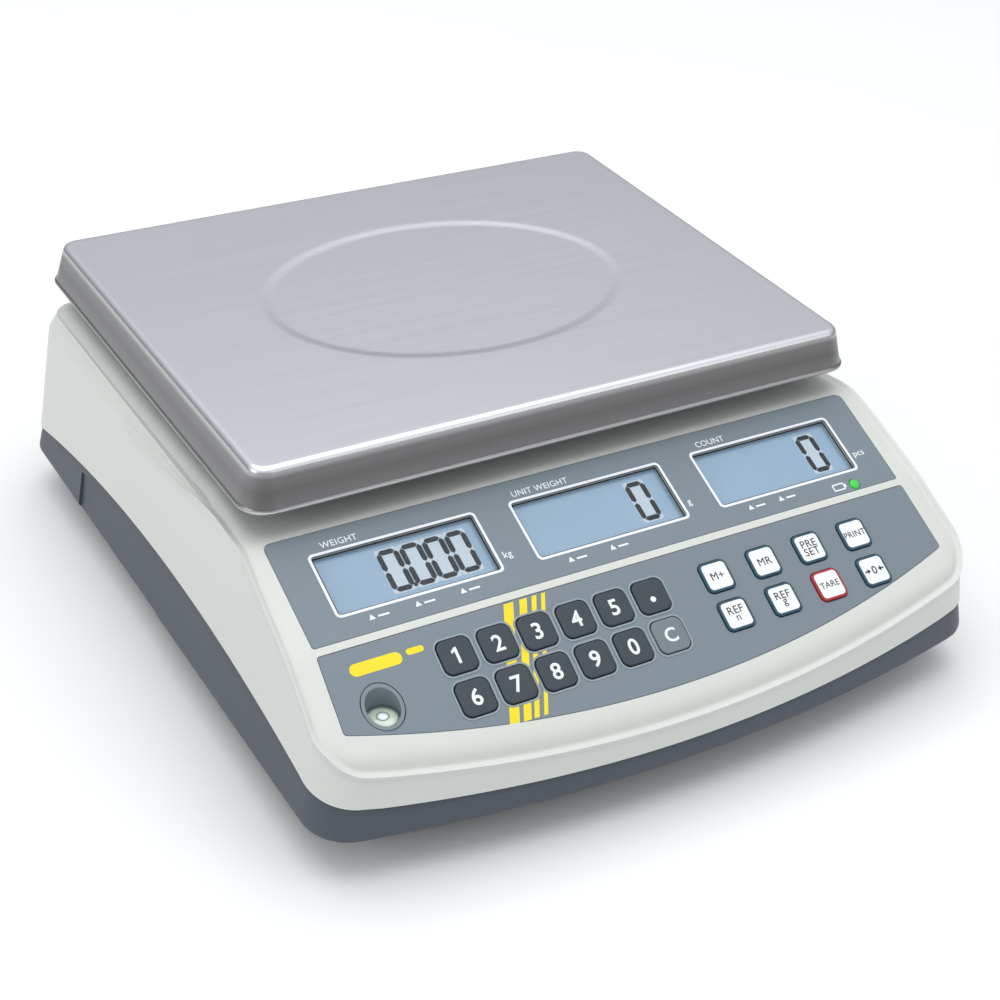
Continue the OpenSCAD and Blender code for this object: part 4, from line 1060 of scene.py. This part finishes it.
def scatter(name, shape, places, material, size=1.0):
    data = bpy.data.meshes.new(name)
    data.from_pydata([Vector(p) * mm for p, _ in places], [], [])
    turn = data.attributes.new("turn", "FLOAT_VECTOR", "POINT")
    for k, (_, angles) in enumerate(places):
        turn.data[k].vector = angles
    obj = addObject(name, data)
    change = obj.modifiers.new("copies", "NODES")
    change.node_group = copiesOnPoints
    values = {"Shape": shape, "Size": size, "Finish": material}
    for socket in copiesOnPoints.interface.items_tree:
        if socket.in_out == "INPUT" and socket.name in values:
            change[socket.identifier] = values[socket.name]
    settle(obj)
    bpy.data.objects.remove(shape)
    return obj


# keys: a domed cap on a flange, with printed figures
keyShape = {"corner": 3.4, "whiteCorner": 2.6, "top": 0.6, "depth": 4.0, "flange": 0.9, "flangeWide": 0.8,
            "crown": 0.022, "ink": 0.06}
digitLabels = {"key_" + n: n for n in digitNames}
digitLabels["key_clear"] = "C"
functionLabels = {"key_memory_add": ["M+"], "key_memory_recall": ["MR"], "key_preset": ["PRE", "SET"],
                  "key_print": ["PRINT"], "key_ref_count": ["REF", "n"], "key_ref_weight": ["REF", "g"],
                  "key_tare": ["TARE"]}
capInk = {"key_clear": "midKey", "key_tare": "redInk"}


def makeCap(key):
    base, face, crown = -keyShape["depth"], keyShape["top"], keyShape["top"] + keyShape["crown"]
    corner, edge = keyShape["corner" if key["dark"] else "whiteCorner"], 2 * keyShape["flangeWide"]
    rows = []
    for grow, z in ((edge, base), (edge, base + keyShape["flange"] - 0.1), (0, base + keyShape["flange"]),
                    (0, face - 0.55), (-0.16, face - 0.26), (-0.5, face - 0.07), (-1.0, face),
                    (-3.6, crown), (-8.0, crown)):
        side, radius = key["size"] + grow, max(0.8, corner + min(0, grow) / 2)
        rows.append([(x, y, z) for x, y in roundedRect(side, side, radius, key["x"], key["y"], 7)])
    cap = meshFrom(key["node"] + "_cap", *loftFrom(rows), onKeypad)
    ink = capInk.get(key["node"], "darkRubber" if key["dark"] else "tealInk")
    finishPiece(cap, ink, key["node"], [key["node"]])


def makeFigure(key):
    node, x, y = key["node"], key["x"], key["y"]
    low = keyShape["top"] + 0.02
    if node == "key_point":
        figure = prism("dot", disc(1.25, x, y - 1.6, 24), low, low + keyShape["ink"], onKeypad)
    else:
        size, weight = (8.4, 0.14) if node == "key_clear" else (9.6, 0.16)
        figure = makeText(digitLabels[node], size, onKeypad, x, y, low, keyShape["ink"], weight)
    if node == "key_1":
        outline = [(x - 0.3, y + 3.3), (x - 2.0, y + 2.3), (x - 2.0, y + 1.1), (x - 0.3, y + 1.9)]
        figure = join("figure", [figure, prism("flag", outline, low, low + 0.055, onKeypad)])
    figure.name = node + "_figure"
    finishPiece(figure, "whiteInk", node)


def makeLabel(key):
    node, x, y = key["node"], key["x"], key["y"]
    low = keyShape["top"] + 0.02 + 0.05
    levels = low, low + keyShape["ink"]
    parts = []
    if node == "key_zero":
        parts.append(makeText("0", 5.2, onKeypad, x, y, low, keyShape["ink"], 0.03))
        for s in (-1, 1):
            tip = x + s * 2.4
            parts.append(bar(x + s * 5.0, y, tip, y, 0.6, *levels, onKeypad))
            arrow = [(tip - s * 0.3, y), (tip + s * 1.1, y + 1.2), (tip + s * 1.1, y - 1.2)]
            parts.append(prism("arrow", arrow, *levels, onKeypad))
    words = functionLabels.get(node, [])
    for n, word in enumerate(words):
        size = 4.9 if len(words) == 2 or len(word) < 4 else 4.0
        height = y + (len(words) - 1) * 1.9 - n * 3.8
        parts.append(makeText(word, size, onKeypad, x, height, low, keyShape["ink"]))
    finishPiece(join(node + "_label", parts), "blackInk", node)
    # the white face set into the coloured cap
    side = key["size"] - 2.1
    face = prism(node + "_face", roundedRect(side, side, 1.8, x, y, 7), low - 0.3, low, onKeypad)
    soften(face, 0.12, 2, 50)
    finishPiece(face, "whiteKey", node)


for key in keys:
    makeCap(key)
    if key["dark"]:
        makeFigure(key)
    else:
        makeLabel(key)

# pale raised rim in the film round each dark key
keyRim = {"outer": 17.0, "outerCorner": 4.4, "inner": 15.3, "innerCorner": 3.6, "height": 0.22}
rimOuter = roundedRect(keyRim["outer"], keyRim["outer"], keyRim["outerCorner"], 0, 0, 7)
rimInner = roundedRect(keyRim["inner"], keyRim["inner"], keyRim["innerCorner"], 0, 0, 7)
oneRim = meshFrom("oneRim", *bandLoop(rimOuter, rimInner, 0, keyRim["height"]))
tilt = (math.radians(casing["keypadTilt"]), 0, 0)
rimPlaces = [(onKeypad @ Vector((key["x"], key["y"], film["face"])), tilt) for key in keys if key["dark"]]
rims = scatter("key_rims", oneRim, rimPlaces, finishes["paleFilm"])
soften(rims, 0.09, 2, 40)
finishPiece(rims, "paleFilm", "base")

# four slanted stripes behind the digit keys, each narrower than the one before
stripes = {"topX": (-58.7, -52.0, -47.0, -42.8), "lowX": (-78.2, -72.5, -68.4, -64.3),
           "width": (4.4, 3.4, 2.2, 1.8), "top": -2.6, "low": -50.2}
parts = []
for topX, lowX, wide in zip(stripes["topX"], stripes["lowX"], stripes["width"]):
    outline = [(topX - wide / 2, stripes["top"]), (lowX - wide / 2, stripes["low"]),
               (lowX + wide / 2, stripes["low"]), (topX + wide / 2, stripes["top"])]
    parts.append(prism("stripe", outline, film["face"] - 0.3, film["face"] + 0.05, onKeypad))
stripe = join("panel_stripes", parts)
cut(stripe, [block(keyRim["inner"], keyRim["inner"], keyRim["innerCorner"], key["x"], key["y"],
                   -3, 2, onKeypad) for key in keys if key["dark"] and -95 < key["x"] < -30])
finishPiece(stripe, "yellowInk", "base")

# plain generic mark: a bar with a short tail
printedPiece("panel_mark", [block(22, 5.2, 2.6, -120.5, -11.0, *printed, onKeypad),
                            block(7.5, 2.6, 1.3, -103.5, -10.0, *printed, onKeypad)], "yellowInk")
print("keypad made")


# charging lamp and spirit level
lampPlace = onDisplay @ Matrix.Translation((lamp["x"], lamp["y"], 0))
dome = turned("lamp_dome", [(2.4, -10), (2.4, -0.4), (2.3, 0.1), (1.9, 0.45), (1.2, 0.7), (0.5, 0.78)],
              lampPlace, 32)
finishPiece(dome, "greenLamp", "base", ["charge_led"])
rounded("spirit_level_cup", "cupPlastic", 0.35, 3)
vialPlace = Matrix.Translation((level["x"], level["y"], 0))
vialRadius = (levelHigh.x - levelLow.x) / 2


# turned from pairs of radius and height, the height counted from the vial's top
def makeVialPart(name, profile, count):
    return turned(name, [(r, levelHigh.z + z) for r, z in profile], vialPlace, count)


vial = makeVialPart("level_vial", [(vialRadius, levelLow.z - levelHigh.z), (vialRadius, -0.9),
                                   (vialRadius - 0.25, -0.3), (vialRadius - 0.9, -0.05),
                                   (vialRadius - 2.0, 0.25), (2.0, 0.55), (0.6, 0.6)], 48)
finishPiece(vial, "levelLiquid", "base", ["spirit_level_vial"])
rings = []
for outer, inner, low, high, count in ((2.6, 2.2, 0.4, 0.6, 40),
                                       (vialRadius - 0.1, vialRadius - 0.8, -0.6, 0.12, 48)):
    loop = bandLoop(disc(outer, 0, 0, count), disc(inner, 0, 0, count), levelHigh.z + low, levelHigh.z + high)
    rings.append(meshFrom("ring", *loop, vialPlace))
finishPiece(join("level_rings", rings), "midKey", "base")
bubble = makeVialPart("level_bubble", [(0.4, 0.45), (1.3, 0.52), (1.7, 0.6), (1.5, 0.72), (0.6, 0.82)], 32)
finishPiece(bubble, "whiteInk", "base")
print("lamp and level made")


# levelling feet: a ribbed rubber pad under a knurled wheel on its stud
foot = {"ridges": 36, "ridge": 0.55, "grooves": 4}


def makeFoot(where):
    body = "foot_" + where
    low, high = corners("foot_pad_" + where)
    cx, cy = (low.x + high.x) / 2, (low.y + high.y) / 2
    radius, tall = (high.x - low.x) / 2, high.z - low.z
    place = Matrix.Translation((cx, cy, low.z))
    profile = [(radius * share, z) for share, z in ((0.2, 0.9), (0.45, 0.9), (0.48, 0.1), (0.7, 0.1),
                                                    (0.73, 0.9), (0.86, 0.9), (0.88, 0))]
    profile += [(radius - 0.5, 0), (radius, 0.5)]
    for g in range(foot["grooves"]):
        z = 1.2 + g * 1.5
        r = radius - 2.5 * z / tall
        profile += [(r, z), (r - 0.1, z + 0.25), (r - 0.5, z + 0.4), (r - 0.5, z + 0.75), (r - 0.2, z + 0.9)]
    profile += [(radius - 2.4, tall - 0.6), (radius - 2.9, tall), (radius * 0.3, tall)]
    pad = turned("foot_rubber_" + where, profile, place, 56)
    finishPiece(pad, "padRubber", body, ["foot_pad_" + where], smooth=30)
    low, high = corners("foot_screw_" + where)
    wheel, stud, start, top = (high.x - low.x) / 2, 4.0, low.z, high.z
    place = Matrix.Translation((cx, cy, 0))
    profile = [(1.0, start), (wheel - 1.2, start), (wheel - 0.5, start + 0.4), (wheel - 0.5, start + 3.6),
               (wheel - 1.2, start + 4), (stud + 0.2, start + 4), (stud, start + 4.3)]
    z = start + 4.6
    while z < top - 1.6:
        profile += [(stud, z), (stud - 0.45, z + 0.5), (stud, z + 1.0)]
        z += 1.25
    profile += [(stud - 0.7, top), (0.8, top)]
    screw = turned("screw_" + where, profile, place, 40)
    half = foot["ridge"]
    ridge = meshFrom("ridge", *loftFrom([[(0, -half, s * 1.7), (0, half, s * 1.7), (0.5, 0, s * 1.5)]
                                         for s in (-1, 1)]))
    places = []
    for k, (x, y) in enumerate(disc(wheel - half, cx, cy, foot["ridges"])):
        places.append(((x, y, start + 2), (0, 0, 2 * math.pi * k / foot["ridges"])))
    knurl = scatter("knurl", ridge, places, finishes["zincSteel"])
    both = join("foot_stud_" + where, [screw, knurl])
    finishPiece(both, "zincSteel", body, ["foot_screw_" + where], smooth=30)


for where in footPlaces:
    makeFoot(where)
print("feet made")


# underside and back: cover, screws, switch and sockets
for node, finish, slot, width, steps in (
        ("battery_cover", "greyShell", "casing_grey", 0.5, 2),
        ("power_switch_housing", "blackPlastic", "black_plastic", 0.35, 2),
        ("power_switch_rocker", "blackPlastic", "black_plastic", 0.5, 3),
        ("power_jack", "blackPlastic", "black_plastic", 0.3, 2),
        ("serial_port", "socketMetal", "socket_metal", 0.2, 2),
        ("case_screws", "zincSteel", "zinc_steel", 0.25, 2),
        ("plate_carrier", "castMetal", "cast_aluminium", 1.2, 3),
        ("carrier_pads", "padRubber", "black_rubber", 0.9, 3),
        ("carrier_bolts", "zincSteel", "zinc_steel", 0.5, 2),
        ("load_cell_upper_spacer", "milledMetal", "machined_aluminium", 0.5, 2)):
    rounded(node, finish, width, steps)

# ribs moulded on the battery cover
coverLow, coverHigh = corners("battery_cover")
oneRib = prism("oneRib", roundedRect(26, 1.4, 0.6), -0.35, 0.2)
ribPlaces = [((0, coverHigh.y - 12 - 4 * k, coverLow.z), (0, 0, 0)) for k in range(5)]
ribs = scatter("cover_ribs", oneRib, ribPlaces, finishes["greyShell"])
finishPiece(ribs, "greyShell", "base")

# everything else keeps its modelled shape and takes a finish
kept = {
    "load_cell": "milledMetal", "load_cell_lower_spacer": "milledMetal", "load_cell_bolts": "zincSteel",
    "overload_stop": "zincSteel", "chassis_plate": "panelSteel", "lcd_modules": "lcdGlassPaintedGlow",
    "display_board": "board", "keypad_board": "board",
    "main_board": "board", "key_domes": "siliconeDome", "load_cell_cable": "cableSheath",
    "display_ribbon": "ribbon", "battery": "batteryCase",
}
for node, ink in kept.items():
    obj = frame["nodes"][node]
    obj.data.materials.clear()
    obj.data.materials.append(finishes[ink])
print("carried parts finished")


# studio: a pale floor, a soft surround and broad lights
def areaLight(name, place, aim, size, power, colour=(1, 1, 1)):
    data = bpy.data.lights.new(name, "AREA")
    data.shape = "RECTANGLE"
    data.size, data.size_y = size
    data.energy = power
    data.color = colour
    obj = addObject(name, data)
    obj.location = place
    obj.rotation_euler = (Vector(aim) - Vector(place)).to_track_quat("-Z", "Y").to_euler()


floorHalf = 3000
floorCorners = [(x * floorHalf, y * floorHalf, 0) for x, y in ((-1, -1), (1, -1), (1, 1), (-1, 1))]
floor = meshFrom("floor", floorCorners, [(0, 1, 2, 3)], flat, False)
floor.data.materials.append(finishes["floor"])
areaLight("overhead", (0.0, 0.2, 1.7), (0, 0, 0.05), (2.0, 2.0), 17)
areaLight("frontFill", (0.9, -1.4, 0.9), (0, 0, 0.05), (0.9, 0.7), 2.5)
areaLight("leftFill", (-1.7, -0.1, 0.8), (0, 0, 0.05), (1.0, 0.8), 5)
world = bpy.data.worlds.new("surround")
scene.world = world
world.use_nodes = True
nodes = world.node_tree.nodes
sky = nodes["Background"]
sky.inputs["Strength"].default_value = 1.0
around, apart = addNode(nodes, "ShaderNodeTexCoord"), addNode(nodes, "ShaderNodeSeparateXYZ")
# darker towards the horizon, so that the steel skirt has something to reflect
shade = addNode(nodes, "ShaderNodeValToRGB")
stops = shade.color_ramp.elements
stops[0].color, stops[1].color = (0.10, 0.095, 0.09, 1), (0.85, 0.86, 0.88, 1)
stops[1].position = 0.75
stops.new(0.35).color = (0.5, 0.51, 0.54, 1)
wire(world.node_tree, (around, "Generated", apart, "Vector"), (apart, "Z", shade, "Fac"),
     (shade, "Color", sky, "Color"))
scene.view_settings.view_transform = "Standard"
print("studio made")
